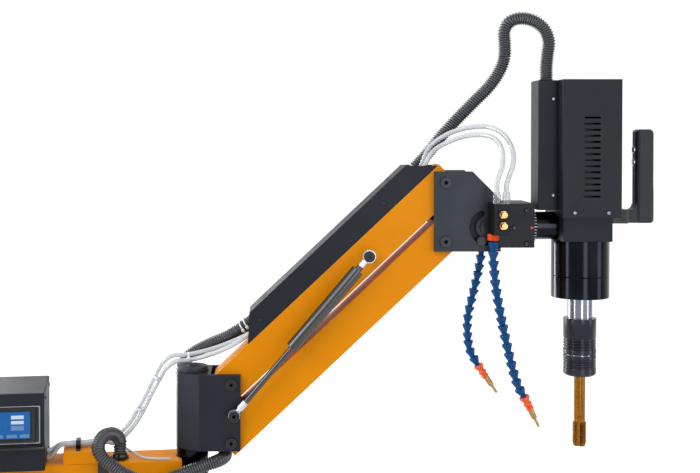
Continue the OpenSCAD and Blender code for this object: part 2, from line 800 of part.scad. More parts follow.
module column() color(yellow) {
    leg = (base_w - column_w) / 2 - gusset_t;
    cap_z = column_top_z - column_cap_t;
    difference() {
        translate([-column_w / 2, -column_w / 2, base_t])
            cube([column_w, column_w, column_top_z - base_t]);
        translate([column_wall - column_w / 2, column_wall - column_w / 2, base_t - over])
            cube([column_w - 2 * column_wall, column_w - 2 * column_wall, cap_z - base_t + over]);
        cylinder(r = shaft_r, h = column_top_z + over);
    }
    for (turn = [0:90:270]) rotate([0, 0, turn]) translate([column_w / 2, gusset_t / 2, base_t])
        rotate([90, 0, 0]) linear_extrude(gusset_t)
            polygon([[0, 0], [leg, 0], [leg, gusset_t], [gusset_t, gusset_h], [0, gusset_h]]);
}

module column_shaft() color(steel) {
    plug = column_cap_t;
    translate([0, 0, column_top_z - plug]) cylinder(r = shaft_r, h = shaft_top_z - column_top_z + plug);
    translate([0, 0, column_top_z]) cylinder(r = shaft_flange_r, h = shaft_flange_t);
}

// First arm

arm_end_share = 0.72;
arm_end_x = arm1_len - front_hub_r * arm_end_share;

module first_arm() color(yellow) in_arm() difference() {
    union() {
        span([0, -arm_w / 2, arm_bottom_z], [arm_end_x, arm_w / 2, arm_top_z]);
        translate([0, 0, arm_bottom_z]) cylinder(r = rear_hub_r, h = arm_h);
    }
    span([rear_hub_r, arm_wall - arm_w / 2, arm_bottom_z + arm_wall],
        [arm1_len - 2 * front_hub_r, arm_w / 2 - arm_wall, arm_top_z - arm_wall]);
    translate([0, 0, arm_bottom_z - over])
        cylinder(r = arm_bearing_r, h = arm_h - rear_hub_top_t + over);
    translate([arm1_len, 0, arm_bottom_z - over])
        cylinder(r = front_hub_r, h = arm_h + 2 * over);
}

module bearing_ring(outer_r, inner_r, h) difference() {
    cylinder(r = outer_r, h = h);
    translate([0, 0, -over]) cylinder(r = inner_r, h = h + 2 * over);
}

module arm_bearings() color(steel) {
    inset = arm_bearing_h * bearing_seat_share;
    for (z = [arm_bottom_z + inset, shaft_top_z - arm_bearing_h - inset]) translate([0, 0, z])
        bearing_ring(arm_bearing_r, shaft_r + run_fit, arm_bearing_h);
}

module knuckle_post() color(black) at_post() {
    top = knuckle_top_z - face_gap;
    difference() {
        translate([0, 0, arm_bottom_z]) cylinder(r = front_hub_r, h = arm_h + front_hub_rise);
        rotate([0, 0, 180 + grub_deg]) translate([front_hub_r - grub_depth, 0, arm_top_z - front_hub_rise / 2])
            along_x() cylinder(r = hub_grub_r, h = grub_depth + over, $fn = 24);
    }
    translate([0, 0, arm_top_z + front_hub_rise]) cylinder(r = post_r, h = top - arm_top_z - front_hub_rise);
}
grub_deg = 51;

module saddle_block() color(yellow) in_arm()
    span([saddle_at, -arm_w / 2, arm_top_z], [saddle_at + saddle_len, arm_w / 2, arm_top_z + saddle_h]);

// A flat band over the bundled tubes on the saddle, and a block on the arm's front
module cable_clips() color(satin) in_arm() {
    clip_x = saddle_at + saddle_len * clip_share;
    clamp_x = saddle_at + saddle_len - chamfer_s;
    foot = clip_r * 2;
    translate([clip_x, 0, arm_top_z + saddle_h + clip_r]) rotate([90, 0, 90]) linear_extrude(clip_w) {
        difference() {
            obround(clip_span, clip_r * 2);
            obround(clip_span - 2 * clip_t, (clip_r - clip_t) * 2);
        }
        translate([-clip_span / 2 - foot, -clip_r]) square([foot + clip_r, clip_t]);
    }
    span([clamp_x, -arm_w / 2 - clamp_d, arm_top_z + clamp_rise - clamp_h],
        [clamp_x + clamp_w, -arm_w / 2, arm_top_z + clamp_rise]);
}
clip_share = 0.34;

module conduit_gland() color(satin) in_arm() translate([gland_at, -gland_side, arm_top_z])
    difference() {
        union() {
            cylinder(r = gland_nut_r, h = gland_nut_h, $fn = hex_fn);
            translate([0, 0, gland_nut_h]) cylinder(r = gland_collar_r, h = gland_collar_h);
        }
        translate([0, 0, -over]) cylinder(r = conduit_bore_r, h = gland_nut_h + gland_collar_h + 2 * over);
    }

// Control box

box_left = box_right - box_w;
box_mid = box_right - box_w / 2;
screen_z = arm_top_z + screen_rise;

module control_box() color(black) in_arm() {
    front = -box_d / 2;
    back = box_d / 2;
    profile = [[front + box_setback, 0], [front + box_setback, box_plinth_h],
        [front, box_plinth_h + box_setback], [front, box_h - box_brow],
        [front + box_brow / 2, box_h], [back, box_h], [back, 0]];
    difference() {
        translate([box_left, 0, arm_top_z]) rotate([90, 0, 90]) linear_extrude(box_w) polygon(profile);
        span([box_left + box_wall, front + box_setback + box_wall, arm_top_z + box_wall],
            [box_right - box_wall, back - box_wall, arm_top_z + box_h - box_wall]);
    }
}

module screen_frame() color(zinc) in_arm() difference() {
    span([box_mid - screen_w / 2, -box_d / 2 - screen_t, screen_z - screen_h / 2],
        [box_mid + screen_w / 2, -box_d / 2, screen_z + screen_h / 2]);
    span([box_mid - screen_w / 2 + screen_border, -box_d / 2 - screen_t - over,
            screen_z - screen_h / 2 + screen_border],
        [box_mid + screen_w / 2 - screen_border, -box_d / 2 + over,
            screen_z + screen_h / 2 - screen_border]);
}

module touch_screen() color(blue) in_arm()
    span([box_mid - screen_w / 2 + screen_border, -box_d / 2 - screen_t * 0.6,
            screen_z - screen_h / 2 + screen_border],
        [box_mid + screen_w / 2 - screen_border, -box_d / 2,
            screen_z + screen_h / 2 - screen_border]);

power_t = 14;
power_z = arm_top_z + box_h / 2;
rocker_x = box_mid - power_w / 2 + rocker_w;
inlet_x = box_mid + power_w / 2 - inlet_w * 0.75;
rocker_room = 1;
rocker_pin_r = 1.5;
rocker_tilt = 10;
rocker_t = 6;

module power_inlet() color(satin) in_arm() difference() {
    span([box_mid - power_w / 2, box_d / 2, power_z - power_h / 2],
        [box_mid + power_w / 2, box_d / 2 + power_t + screen_t, power_z + power_h / 2]);
    span([inlet_x - inlet_w / 2, box_d / 2 + power_t + screen_t - inlet_depth, power_z - inlet_h / 2],
        [inlet_x + inlet_w / 2, box_d / 2 + power_t + screen_t + over, power_z + inlet_h / 2]);
    span([rocker_x - rocker_w / 2 - rocker_room, box_d / 2 + power_t - rocker_t,
            power_z - rocker_h / 2 - rocker_room],
        [rocker_x + rocker_w / 2 + rocker_room, box_d / 2 + power_t + screen_t + over,
            power_z + rocker_h / 2 + rocker_room]);
    translate([rocker_x - rocker_w, box_d / 2 + power_t, power_z]) along_x()
        cylinder(r = rocker_pin_r + run_fit, h = rocker_w * 2, $fn = 24);
}

module power_rocker() color(satin) in_arm() translate([rocker_x, box_d / 2 + power_t, power_z]) {
    translate([-rocker_w / 2 - rocker_room * 3, 0, 0]) along_x()
        cylinder(r = rocker_pin_r, h = rocker_w + rocker_room * 6, $fn = 24);
    rotate([rocker_tilt, 0, 0]) translate([-rocker_w / 2, 0, 0]) rotate([90, 0, 90])
        linear_extrude(rocker_w) polygon([[-rocker_pin_r * 2, -rocker_h * 0.3], [rocker_t * 0.6, -rocker_h / 2],
            [rocker_t / 2, 0], [rocker_t * 0.6, rocker_h / 2], [-rocker_pin_r * 2, rocker_h * 0.3]]);
}

// Knuckle

module knuckle_bracket() color(black) at_post() difference() {
    union() {
        translate([0, 0, knuckle_low_z]) linear_extrude(knuckle_h) {
            nose = front_hub_r * 0.86;
            flare = front_hub_r / 2;
            polygon([[-nose, -nose + chamfer_s], [flare, -yoke_half], [pivot_x + cheek_reach, -yoke_half],
                [pivot_x + cheek_reach, yoke_half], [flare, yoke_half], [-nose, nose - chamfer_s]]);
        }
        translate([0, 0, knuckle_low_z]) cylinder(r = cap_r, h = knuckle_h);
    }
    span([web_x, -slot_half, knuckle_low_z - over],
        [pivot_x + cheek_reach + over, slot_half, knuckle_top_z + over]);
    translate([0, 0, knuckle_low_z - over])
        cylinder(r = post_bearing_r, h = knuckle_h + 2 * over);
    for (z = [lower_pivot_z, upper_pivot_z]) translate([pivot_x, 0, z])
        bar_y(pin_r, -yoke_half - over, yoke_half + over);
    translate([pivot_x + stud_x, 0, upper_pivot_z - stud_drop])
        bar_y(stud_r, -yoke_half - over, -slot_half + over);
}

module post_cap() color(satin) at_post() translate([0, 0, knuckle_top_z]) {
    lip = 1;
    difference() {
        union() {
            cylinder(r = cap_r, h = cap_layer_h);
            translate([0, 0, cap_layer_h]) cylinder(r = cap_r - lip, h = cap_layer_h);
            translate([0, 0, 2 * cap_layer_h]) cylinder(r = bolt_head_r * 0.8, h = lip * 2);
        }
        translate([0, 0, 2 * cap_layer_h]) cylinder(r = socket_r, h = lip * 2 + over, $fn = hex_fn);
    }
}

module knuckle_bearings() color(steel) at_post()
    for (z = [knuckle_low_z, knuckle_top_z - post_bearing_h]) translate([0, 0, z])
        bearing_ring(post_bearing_r, post_r + run_fit, post_bearing_h);

// A pivot pin through a yoke, with a black head at each end
module yoke_pin() {
    bar_y(pin_r, -yoke_half, yoke_half);
    bolt_head_front(-yoke_half);
    scale([1, -1, 1]) bolt_head_front(-yoke_half);
}

// The lower studs of the spring: a spacer, a shank in the eye and a head in front of it
module spring_bolt(seat_y) {
    bar_y(stud_r, spring_y - eye_t / 2 - face_gap, seat_y + cheek_t);
    bar_y(shank_r, spring_y + eye_t / 2 + face_gap, seat_y);
    bolt_head_front(spring_y - eye_t / 2 - face_gap);
}

module knuckle_pins() color(satin) at_post() {
    for (z = [lower_pivot_z, upper_pivot_z]) translate([pivot_x, 0, z]) yoke_pin();
    translate([pivot_x + stud_x, 0, upper_pivot_z - stud_drop]) spring_bolt(-yoke_half);
}

// Links

// A closed box beam with solid pivot blocks, lying along X from its lower pivot
module link_beam(rise, overhang) difference() {
    span([-overhang, -beam_half, rise - beam_h], [link_len + overhang, beam_half, rise]);
    span([beam_block, beam_wall - beam_half, rise - beam_h + beam_wall],
        [link_len - beam_block, beam_half - beam_wall, rise - beam_wall]);
    for (x = [0, link_len]) translate([x, 0, 0]) bar_y(bush_r, -beam_half - over, beam_half + over);
}

module link_bushes() for (x = [0, link_len], side = [1, -1]) translate([x, 0, 0]) difference() {
    bar_y(bush_r, side > 0 ? beam_half - bush_len : -beam_half, side > 0 ? beam_half : bush_len - beam_half);
    bar_y(pin_r + run_fit, -beam_half - over, beam_half + over);
}

module upper_beam() color(yellow) in_link(upper_pivot_z) difference() {
    link_beam(upper_over, upper_overhang);
    translate([stud_along, 0, 0]) bar_y(stud_r, -beam_half - over, cheek_t - beam_half);
}
module upper_bushes() color(bronze) in_link(upper_pivot_z) link_bushes();
module lower_beam() color(yellow) in_link(lower_pivot_z) link_beam(lower_over, lower_overhang);
module lower_bushes() color(bronze) in_link(lower_pivot_z) link_bushes();

module spring_stud() color(satin) in_link(upper_pivot_z) translate([stud_along, 0, 0])
    spring_bolt(-beam_half);

// An inverted channel whose lower end is cut plumb and whose upper end is cut level
module cable_cover() color(black) in_link(upper_pivot_z) {
    low = upper_over;
    top = upper_over + cover_h;
    end = link_len + cover_overhang;
    difference() {
        plate_xz(-beam_half, beam_half) polygon([[cover_start, low],
            [cover_start + cover_h / tan(90 - link_angle) * 1.1, top],
            [end - cover_h / tan(link_angle), top], [end, low]]);
        span([0, cover_t - beam_half, low - over], [end + cover_h, beam_half - cover_t, top - cover_t]);
        for (x = [cover_start + cover_h * 2, end - cover_h * 2], side = [1, -1])
            translate([x, side * beam_half / 2, top - cover_t - over])
                linear_extrude(cover_t + 2 * over) obround(cover_slot_len, cover_slot_w);
    }
}

// Gas spring, drawn along X from the knuckle's stud

module on_spring() at_post() translate([pivot_x + stud_x, spring_y, upper_pivot_z - stud_drop])
    rotate([0, -spring_angle, 0]) children();

module gas_rod() color(zinc) on_spring() {
    difference() {
        union() {
            bar_y(eye_r, -eye_t / 2, eye_t / 2);
            along_x() cylinder(r = shank_r * 0.7, h = eye_reach - over);
            translate([eye_reach / 2, 0, 0]) along_x()
                cylinder(r = shank_r, h = eye_reach / 2);
            translate([eye_reach / 2, 0, 0]) along_x()
                cylinder(r = rod_r, h = tube_from + rod_inside - eye_reach / 2);
            translate([tube_from + rod_inside - piston_h, 0, 0]) along_x()
                cylinder(r = tube_r - spring_wall - run_fit * 2, h = piston_h);
        }
        bar_y(stud_r + run_fit, -eye_t, eye_t);
    }
}

module gas_tube() color(satin) on_spring() difference() {
    groove = 1;
    union() {
        translate([tube_from, 0, 0]) along_x() cylinder(r = tube_r, h = tube_len);
        translate([spring_len - eye_reach, 0, 0]) along_x()
            cylinder(r = shank_r, h = eye_reach * 0.64);
        translate([spring_len, 0, 0]) bar_y(eye_r + over, -eye_t / 2, eye_t / 2);
    }
    translate([tube_from - over, 0, 0]) along_x()
        cylinder(r = rod_r + run_fit, h = collar_len);
    translate([tube_from + collar_len - over * 2, 0, 0]) along_x()
        cylinder(r = tube_r - spring_wall, h = tube_len - collar_len - piston_h);
    translate([tube_from + collar_len, 0, 0]) along_x() difference() {
        cylinder(r = tube_r + over, h = groove);
        cylinder(r = tube_r - groove / 2, h = groove);
    }
    translate([spring_len, 0, 0]) bar_y(stud_r + open_room, -eye_t, eye_t);
}

// Head bracket, its plates drawn from the lower bracket pivot

module bracket_outline() {
    right = tilt_dx + plate_right;
    top = pivot_gap + plate_over;
    polygon([[-plate_left, -plate_under], [right, -plate_under], [right, top - plate_chamfer],
        [right - plate_chamfer, top], [-plate_left, top]]);
}

// The arc slot that the lock bolt runs in, in the plate's plane
module tilt_slot() {
    low_deg = lock_deg + slot_spare_deg;
    count = 12;
    arc = [for (k = [0:count]) slot_high_deg + (low_deg - slot_high_deg) * k / count];
    polygon(concat([for (a = arc) (slot_arc_r + slot_w / 2) * [cos(a), sin(a)]],
        [for (k = [count:-1:0]) (slot_arc_r - slot_w / 2) * [cos(arc[k]), sin(arc[k])]]));
    for (a = [slot_high_deg, low_deg]) translate(slot_arc_r * [cos(a), sin(a)])
        circle(d = slot_w, $fn = 24);
}

module bracket_plates() color(black) at_bracket() both_sides() difference() {
    plate_xz(-yoke_half, -slot_half) difference() {
        bracket_outline();
        translate([tilt_dx, tilt_rise]) tilt_slot();
    }
    for (z = [0, pivot_gap]) translate([0, 0, z]) bar_y(pin_r, -yoke_half - over, -slot_half + over);
    translate([tilt_dx, 0, tilt_rise]) bar_y(tilt_pin_r + run_fit, -yoke_half - over, -slot_half + over);
}

module bracket_pins() color(satin) at_bracket() for (z = [0, pivot_gap])
    translate([0, 0, z]) yoke_pin();

// Tilt unit

module tilt_profile() {
    circle(r = tilt_under, $fn = 64);
    translate([0, -tilt_under]) square([tilt_reach, tilt_under + tilt_over]);
}

module tilt_block() color(black) at_tilt() difference() {
    union() {
        plate_xz(-core_half, core_half) tilt_profile();
        plate_xz(-wide_half, wide_half) difference() {
            translate([wide_clear_r / 2, -tilt_under])
                square([tilt_reach - wide_clear_r / 2, tilt_under + tilt_over]);
            circle(r = wide_clear_r, $fn = 64);
        }
        both_sides() plate_xz(-side_face, -wide_half) translate([side_plate_from, -tilt_under])
            square([tilt_reach - side_plate_from, tilt_under + tilt_over]);
    }
    bar_y(tilt_pin_r, -side_face - over, side_face + over);
    lock_hole();
    translate([tilt_reach - journal_len - face_gap, 0, 0]) along_x()
        cylinder(r = journal_r + run_fit, h = journal_len + face_gap + over);
}

lock_at = slot_arc_r * [cos(lock_deg), 0, sin(lock_deg)];
module lock_hole() translate(lock_at) bar_y(lock_r, -side_face - over, side_face + over);

module tilt_pin() color(satin) at_tilt() {
    boss_t = side_plate_t - face_gap;
    bar_y(tilt_pin_r, -yoke_half - face_gap, yoke_half + face_gap);
    both_sides() bar_y(tilt_boss_r, -yoke_half - face_gap - boss_t, -yoke_half - face_gap);
}

module tilt_lock_bolt() color(satin) at_tilt() translate(lock_at) {
    head_t = bolt_head_h;
    bar_y(lock_r, -yoke_half - face_gap, yoke_half + face_gap);
    both_sides() bar_y(lock_head_r, -yoke_half - face_gap - head_t, -yoke_half - face_gap);
}

// Valve block in front of the tilt unit

valve_back = -side_face;
valve_front = -side_face - valve_d;
valve_bottom = -valve_drop;
valve_top = valve_h - valve_drop;
knob_x = valve_w / 2;
knob_mid_z = valve_bottom + valve_h / 2;
fitting_y = valve_front + fitting_r * 2;
fitting_mid_x = valve_w / 2 + over;
bore_r = 3;

// Hose balls, seen from the tilt pivot
ball_room = 0.5;
ball_drop = ball_r + ball_room * 2;
hose_port_share = 0.26;
front_ball = [knob_x - ball_r, valve_back - valve_d * hose_port_share, valve_bottom - ball_drop];
outlet_left = side_plate_from + ball_r - outlet_w;
rear_ball = [outlet_left + outlet_w / 2, side_face + outlet_d / 2, -outlet_drop - ball_drop];

// The room for a ball, open below so that the hose's neck can swing
module ball_seat() {
    mouth_r = ball_r * 0.9;
    sphere(r = ball_r + ball_room);
    translate([0, 0, -hose_socket_h]) cylinder(r = mouth_r, h = hose_socket_h);
}

// A hexagonal socket hung under a block at height z
module hose_socket(ball, z) difference() {
    translate([ball.x, ball.y, z - hose_socket_h])
        cylinder(r = hose_socket_r, h = hose_socket_h, $fn = hex_fn);
    translate(ball) ball_seat();
}

module valve_block() at_tilt() {
    color(satin) difference() {
        span([0, valve_front, valve_bottom], [valve_w, valve_back, valve_top]);
        for (side = [1, -1]) translate([knob_x, 0, knob_mid_z + side * knob_gap / 2])
            bar_y(bore_r + run_fit, valve_front - over, valve_front + knob_len);
    }
    color(orange) hose_socket(front_ball, valve_bottom);
}

module tube_fittings() color(clear) at_tilt() for (side = [1, -1])
    translate([fitting_mid_x + side * fitting_gap / 2, fitting_y, valve_top]) {
        collar = 4;
        cylinder(r = fitting_r, h = fitting_h - collar);
        translate([0, 0, fitting_h - collar]) cylinder(r = fitting_r - over, h = collar);
    }

// A brass needle knob: a stem in the block, a hexagon and a round thumb part
module valve_knob(side) color(brass) at_tilt() translate([knob_x, 0, knob_mid_z + side * knob_gap / 2]) {
    flange = knob_len * knob_flange_share;
    front = valve_front - face_gap;
    bar_y(bore_r, front - over, valve_front + knob_len / 2);
    across(front - flange) cylinder(r = knob_hex_r, h = flange, $fn = hex_fn);
    bar_y(knob_stem_r, front - knob_len, front - flange);
}
module valve_knob_top() valve_knob(1);
module valve_knob_bottom() valve_knob(-1);

module rear_outlet() at_tilt() {
    color(satin) span([outlet_left, side_face, -outlet_drop],
        [outlet_left + outlet_w, side_face + outlet_d, outlet_h - outlet_drop]);
    color(orange) hose_socket(rear_ball, -outlet_drop);
}

// Coolant hoses: a row of flared segments between two orange ends

module segmented_hose(route) {
    c = smooth(route);
    s = runs(c);
    total = s[len(s) - 1];
    body = total - hose_end_len;
    count = round(body / hose_pitch);
    pitch = body / count;
    rim_share = 0.14;
    neck_share = 0.86;
    outer = [for (k = [0:count - 1]) each [[(k + rim_share) * pitch, hose_r],
        [(k + neck_share) * pitch, hose_neck_r]]];
    shell = concat([[0, hose_neck_r]], outer, [[body, hose_neck_r]]);
    color(blue) segments(c, shell, body);
    color(orange) hose_tip(c, s, body, total);
}

// The blue run of a hose, cut from the route at the length where the orange end starts
module segments(c, shell, body) {
    s = runs(c);
    cut = [for (i = [0:len(c) - 1]) if (s[i] < body) c[i], along(c, s, body)];
    hollow_tube(cut, shell, hose_bore_r, len(shell) - 1);
}

module aim(from, to) translate(from)
    rotate([0, acos((to - from).z / norm(to - from)), atan2((to - from).y, (to - from).x)]) children();

module hose_tip(c, s, body, total) {
    from = along(c, s, body);
    to = along(c, s, total);
    length = norm(to - from);
    waist_share = 0.45;
    aim(from, to) rotate_extrude($fn = 32) polygon([[0, 0], [hose_r, 0], [hose_r, length * 0.18],
        [hose_neck_r, length * waist_share], [hose_neck_r + over, length * 0.6],
        [hose_r - over, length * 0.68], [hose_r - over, length], [0, length]]);
}

// The ball and neck at a hose's upper end, with a narrow land round the hinge
module hose_root(ball, top_z) {
    land = ball_r * 0.2;
    steps = 6;
    rise = ball_r - land / 2;
    half = concat([[0, -ball_r]],
        [for (k = [1 - steps:-1]) let (a = 90 * k / steps) [ball_r * cos(a), rise * sin(a) - land / 2]],
        [[ball_r, -land / 2], [ball_r, land / 2]],
        [for (k = [1:steps - 1]) let (a = 90 * k / steps) [ball_r * cos(a), rise * sin(a) + land / 2]],
        [[0, ball_r]]);
    translate(ball) {
        across(0) rotate_extrude() polygon(half);
        translate([0, 0, top_z - ball.z])
            cylinder(r = hose_neck_r * 0.8, h = ball.z - top_z, $fn = 32);
    }
}

module nozzle(route) {
    c = smooth(route);
    n = len(c) - 1;
    s = runs(c);
    from = c[n];
    to = from + unit(c[n] - along(c, s, s[n] - hose_end_len));
    aim(from, to) {
        cylinder(r = nozzle_r, h = nozzle_len, $fn = 32);
        translate([0, 0, nozzle_len]) cylinder(r1 = nozzle_r, r2 = nozzle_tip_r, h = over * 4, $fn = 32);
        translate([0, 0, nozzle_len + over * 4]) cylinder(r = nozzle_tip_r, h = nozzle_tip_len - over * 4,
            $fn = 32);
    }
}

module front_hose() at_tilt() {
    segmented_hose(front_hose_route);
    color(blue) hose_root(front_ball, front_hose_route[0].z);
}
module front_nozzle() color(brass) at_tilt() nozzle(front_hose_route);
module rear_hose() at_tilt() {
    segmented_hose(rear_hose_route);
    color(blue) hose_root(rear_ball, rear_hose_route[0].z);
}
module rear_nozzle() color(brass) at_tilt() nozzle(rear_hose_route);

// Head

module roll_shaft() color(satin) at_tilt() {
    translate([tilt_reach - journal_len, 0, 0]) along_x()
        cylinder(r = journal_r, h = journal_len + face_gap);
    translate([tilt_reach + face_gap, 0, 0]) along_x()
        cylinder(r = roll_r, h = mount_left - tilt_reach - face_gap);
}

module scale_ring() color(black) at_tilt() translate([tilt_reach + face_gap, 0, 0]) along_x()
    difference() {
        union() {
            cylinder(r = scale_r, h = scale_w * 0.6);
            translate([0, 0, scale_w * 0.6])
                cylinder(r1 = scale_r, r2 = scale_r - chamfer_s, h = scale_w * 0.4);
        }
        translate([0, 0, -over]) cylinder(r = roll_r, h = scale_w + 2 * over);
    }

// The block under the motor, with a plate that carries the cover's walls
module gear_mount() color(satin) at_tilt() difference() {
    plate_t = 8;
    left = housing_left + housing_wall;
    union() {
        span([mount_left, -mount_d / 2, -mount_drop], [mount_right, mount_d / 2, mount_top]);
        span([left, housing_wall - housing_front, mount_top - plate_t],
            [housing_right - housing_wall, housing_back - housing_wall, mount_top]);
    }
    translate([left - over, 0, 0]) along_x() cylinder(r = roll_r, h = mount_left - left + over);
}

module motor_cover() color(black) at_tilt() difference() {
    span([housing_left, -housing_front, housing_rise], [housing_right, housing_back, housing_top]);
    span([housing_left + housing_wall, housing_wall - housing_front, housing_rise - over],
        [housing_right - housing_wall, housing_back - housing_wall, housing_top - housing_wall]);
    translate([housing_left - over, 0, 0]) along_x()
        cylinder(r = roll_r, h = housing_wall + 2 * over);
    for (k = [0:vent_count - 1]) translate([head_mid, 0, housing_rise + vent_rise + k * vent_pitch])
        plate_xz(-housing_front - over, housing_wall * 2 - housing_front) obround(vent_len, vent_h);
}

module servo_motor() color(steel) at_head() {
    flange_t = 10;
    span([-motor_w / 2, -motor_w / 2, mount_top], [motor_w / 2, motor_w / 2, mount_top + flange_t]);
    span([-motor_w / 2 + chamfer_s, -motor_w / 2 + chamfer_s, mount_top + flange_t],
        [motor_w / 2 - chamfer_s, motor_w / 2 - chamfer_s, mount_top + motor_h]);
}

module cable_channel() color(black) at_tilt() {
    front = channel_setback - housing_front;
    difference() {
        span([housing_left - channel_w, front, channel_rise], [housing_left, front + channel_d, housing_top]);
        span([housing_left - channel_w + housing_wall, front + housing_wall, channel_rise + housing_wall],
            [housing_left - housing_wall, front + channel_d - housing_wall, housing_top - housing_wall]);
    }
}

module gearbox() color(satin) at_head() difference() {
    translate([0, 0, gearbox_bottom]) cylinder(r = gearbox_r, h = gearbox_h, $fn = 96);
    translate([0, 0, gearbox_bottom + gearbox_groove_rise]) difference() {
        cylinder(r = gearbox_r + over, h = gearbox_groove, $fn = 96);
        cylinder(r = gearbox_r - gearbox_groove, h = gearbox_groove, $fn = 96);
    }
    translate([0, 0, gearbox_bottom - over])
        cylinder(r = spindle_journal_r + run_fit, h = spindle_journal_len + 2 * over);
}

// Handle

module handle_clamp() color(satin) at_tilt() {
    span([housing_right, -handle_front, handle_bottom],
        [housing_right + hclamp_w, -handle_back, handle_bottom + hclamp_h]);
    span([mount_right, -handle_front, handle_bottom], [housing_right, -handle_back, housing_rise]);
}

// The L of the handle seen from the front, with round corners
module handle_outline() {
    bar_z = handle_bottom + (hclamp_h - bar_h) / 2;
    top = bar_z + grip_h;
    waist = grip_waist;
    union() {
        translate([housing_right + hclamp_w, bar_z])
            square([grip_right - grip_r - housing_right - hclamp_w, bar_h]);
        translate([grip_left, bar_z + grip_r]) square([grip_w - waist, grip_h - 2 * grip_r]);
        translate([grip_left + grip_r, bar_z]) square([grip_w - 2 * grip_r, grip_h]);
        polygon([[grip_right - waist, bar_z + grip_r], [grip_right, bar_z + grip_r],
            [grip_right, bar_z + grip_h * 0.26], [grip_right - waist, bar_z + grip_h * 0.4]]);
        for (x = [grip_left + grip_r, grip_right - waist - grip_r])
            translate([x, top - grip_r]) circle(r = grip_r, $fn = 32);
        translate([grip_right - grip_r, bar_z + grip_r]) circle(r = grip_r, $fn = 32);
        difference() {
            translate([grip_left - grip_r, bar_z + bar_h - over]) square([grip_r + over, grip_r + over]);
            translate([grip_left - grip_r, bar_z + bar_h + grip_r]) circle(r = grip_r, $fn = 32);
        }
    }
}

module button_bore(z) translate([grip_left - over, -handle_mid, z]) along_x()
    cylinder(r = button_r + run_fit, h = button_seat + over, $fn = 32);

button_low_z = handle_bottom + button_rise;

module handle() color(black) at_tilt() difference() {
    intersection() {
        plate_xz(-handle_front, -handle_back) handle_outline();
        union() {
            translate([(grip_left + grip_right) / 2, -handle_mid, handle_bottom])
                linear_extrude(grip_h + bar_h) rounded_square(grip_w, hclamp_d, grip_r);
            span([housing_right, -handle_front + chamfer_s, handle_bottom],
                [grip_right - grip_r, -handle_back - chamfer_s, handle_bottom + bar_h + grip_r + over]);
        }
    }
    button_bore(button_low_z);
    button_bore(button_low_z + button_gap);
}

module push_button(z) color(steel) at_tilt() translate([grip_left - button_proud, -handle_mid, z]) along_x()
    cylinder(r = button_r, h = button_proud + button_seat - button_travel - face_gap, $fn = 32);
module start_button() push_button(button_low_z);
module reverse_button() push_button(button_low_z + button_gap);

// Spindle and chuck

module spindle() color(steel) at_head() difference() {
    union() {
        translate([0, 0, spindle_bottom]) cylinder(r = spindle_r, h = spindle_h - face_gap);
        translate([0, 0, gearbox_bottom - face_gap - over])
            cylinder(r = spindle_journal_r, h = spindle_journal_len + over);
        translate([0, 0, ring_top]) cylinder(r = chuck_core_r, h = spindle_bottom - ring_top);
    }
    translate([0, 0, ring_top - over])
        cylinder(r = adapter_shank_r, h = adapter_shank_len + over * 2);
}

// A sleeve with raised rings, turned from its side profile
module ribbed_sleeve(inner_r, outer_r, h, smooth_share, pitch, count, chamfer) {
    ribs = [for (k = [0:count - 1]) let (z = h * (1 - smooth_share) - k * pitch)
        each [[outer_r, z], [outer_r - ring_rib, z - pitch * 0.25], [outer_r - ring_rib, z - pitch * 0.6],
            [outer_r, z - pitch * 0.85]]];
    rotate_extrude($fn = 64) polygon(concat([[inner_r, h], [outer_r, h]], ribs,
        [[outer_r, chamfer], [outer_r - chamfer, 0], [inner_r, 0]]));
}

module chuck_sleeve() color(satin) at_head() translate([0, 0, sleeve_bottom])
    ribbed_sleeve(chuck_core_r + run_fit, chuck_r, sleeve_h, 0.55, rib_pitch, 4, over);

module adapter_ring() color(satin) at_head() translate([0, 0, ring_bottom])
    ribbed_sleeve(adapter_core_r + run_fit, chuck_r, ring_h, 0.18, fine_rib_pitch, 4, chamfer_s);

module tap_adapter() color(satin) at_head() difference() {
    union() {
        translate([0, 0, ring_bottom + chamfer_s])
            cylinder(r = adapter_core_r, h = ring_h - chamfer_s);
        translate([0, 0, ring_top - over])
            cylinder(r = adapter_shank_r, h = adapter_shank_len);
    }
    translate([0, 0, ring_bottom]) cylinder(r = tap_r, h = ring_h + over);
}

module tap() color(gold) at_head() {
    flute_count = 4;
    point = 4;
    translate([0, 0, tap_tip + tap_thread_len])
        cylinder(r = tap_r, h = tap_len - tap_thread_len + ring_h);
    difference() {
        union() {
            translate([0, 0, tap_tip + point])
                cylinder(r = tap_thread_r, h = tap_thread_len - point);
            translate([0, 0, tap_tip]) cylinder(r1 = tap_thread_r - over, r2 = tap_thread_r, h = point);
        }
        for (k = [1:flute_count]) rotate([0, 0, 360 * k / flute_count])
            translate([tap_thread_r, 0, tap_tip - over])
                cylinder(r = flute_r, h = tap_thread_len + 2 * over, $fn = 32);
    }
}

// Conduits and tubes

module lower_conduit() {
    gland_exit = arm_place(gland_at, -gland_side, arm_top_z + gland_nut_h + gland_collar_h + face_gap);
    free = smooth(pinned(lower_route, gland_exit, link_place(conduit_mouth, conduit_lane)));
    s = runs(free);
    color(satin) ribbed_conduit(concat(free, [link_place(conduit_end, conduit_lane)]),
        lower_ribs, s[len(s) - 1]);
}

module upper_conduit() {
    channel_exit = tilt_place([housing_left - channel_w / 2,
        channel_setback - housing_front + channel_inset, housing_top + face_gap]);
    c = smooth(pinned(upper_route, link_place(conduit_end + face_gap, conduit_lane), channel_exit));
    s = runs(c);
    color(satin) ribbed_conduit(c, upper_ribs, s[len(s) - 1]);
}

module lower_tubes() color(clear) {
    for (k = [0, 1]) let (p = [tube_a_route, tube_b_route][k], lane = tube_lanes[k])
        plain_tube(concat(smooth(pinned(p, p[0], link_place(tube_mouth, lane))),
            [link_place(tube_end, lane)]), clear_r);
    plain_tube(smooth(thin_route), thin_r);
}

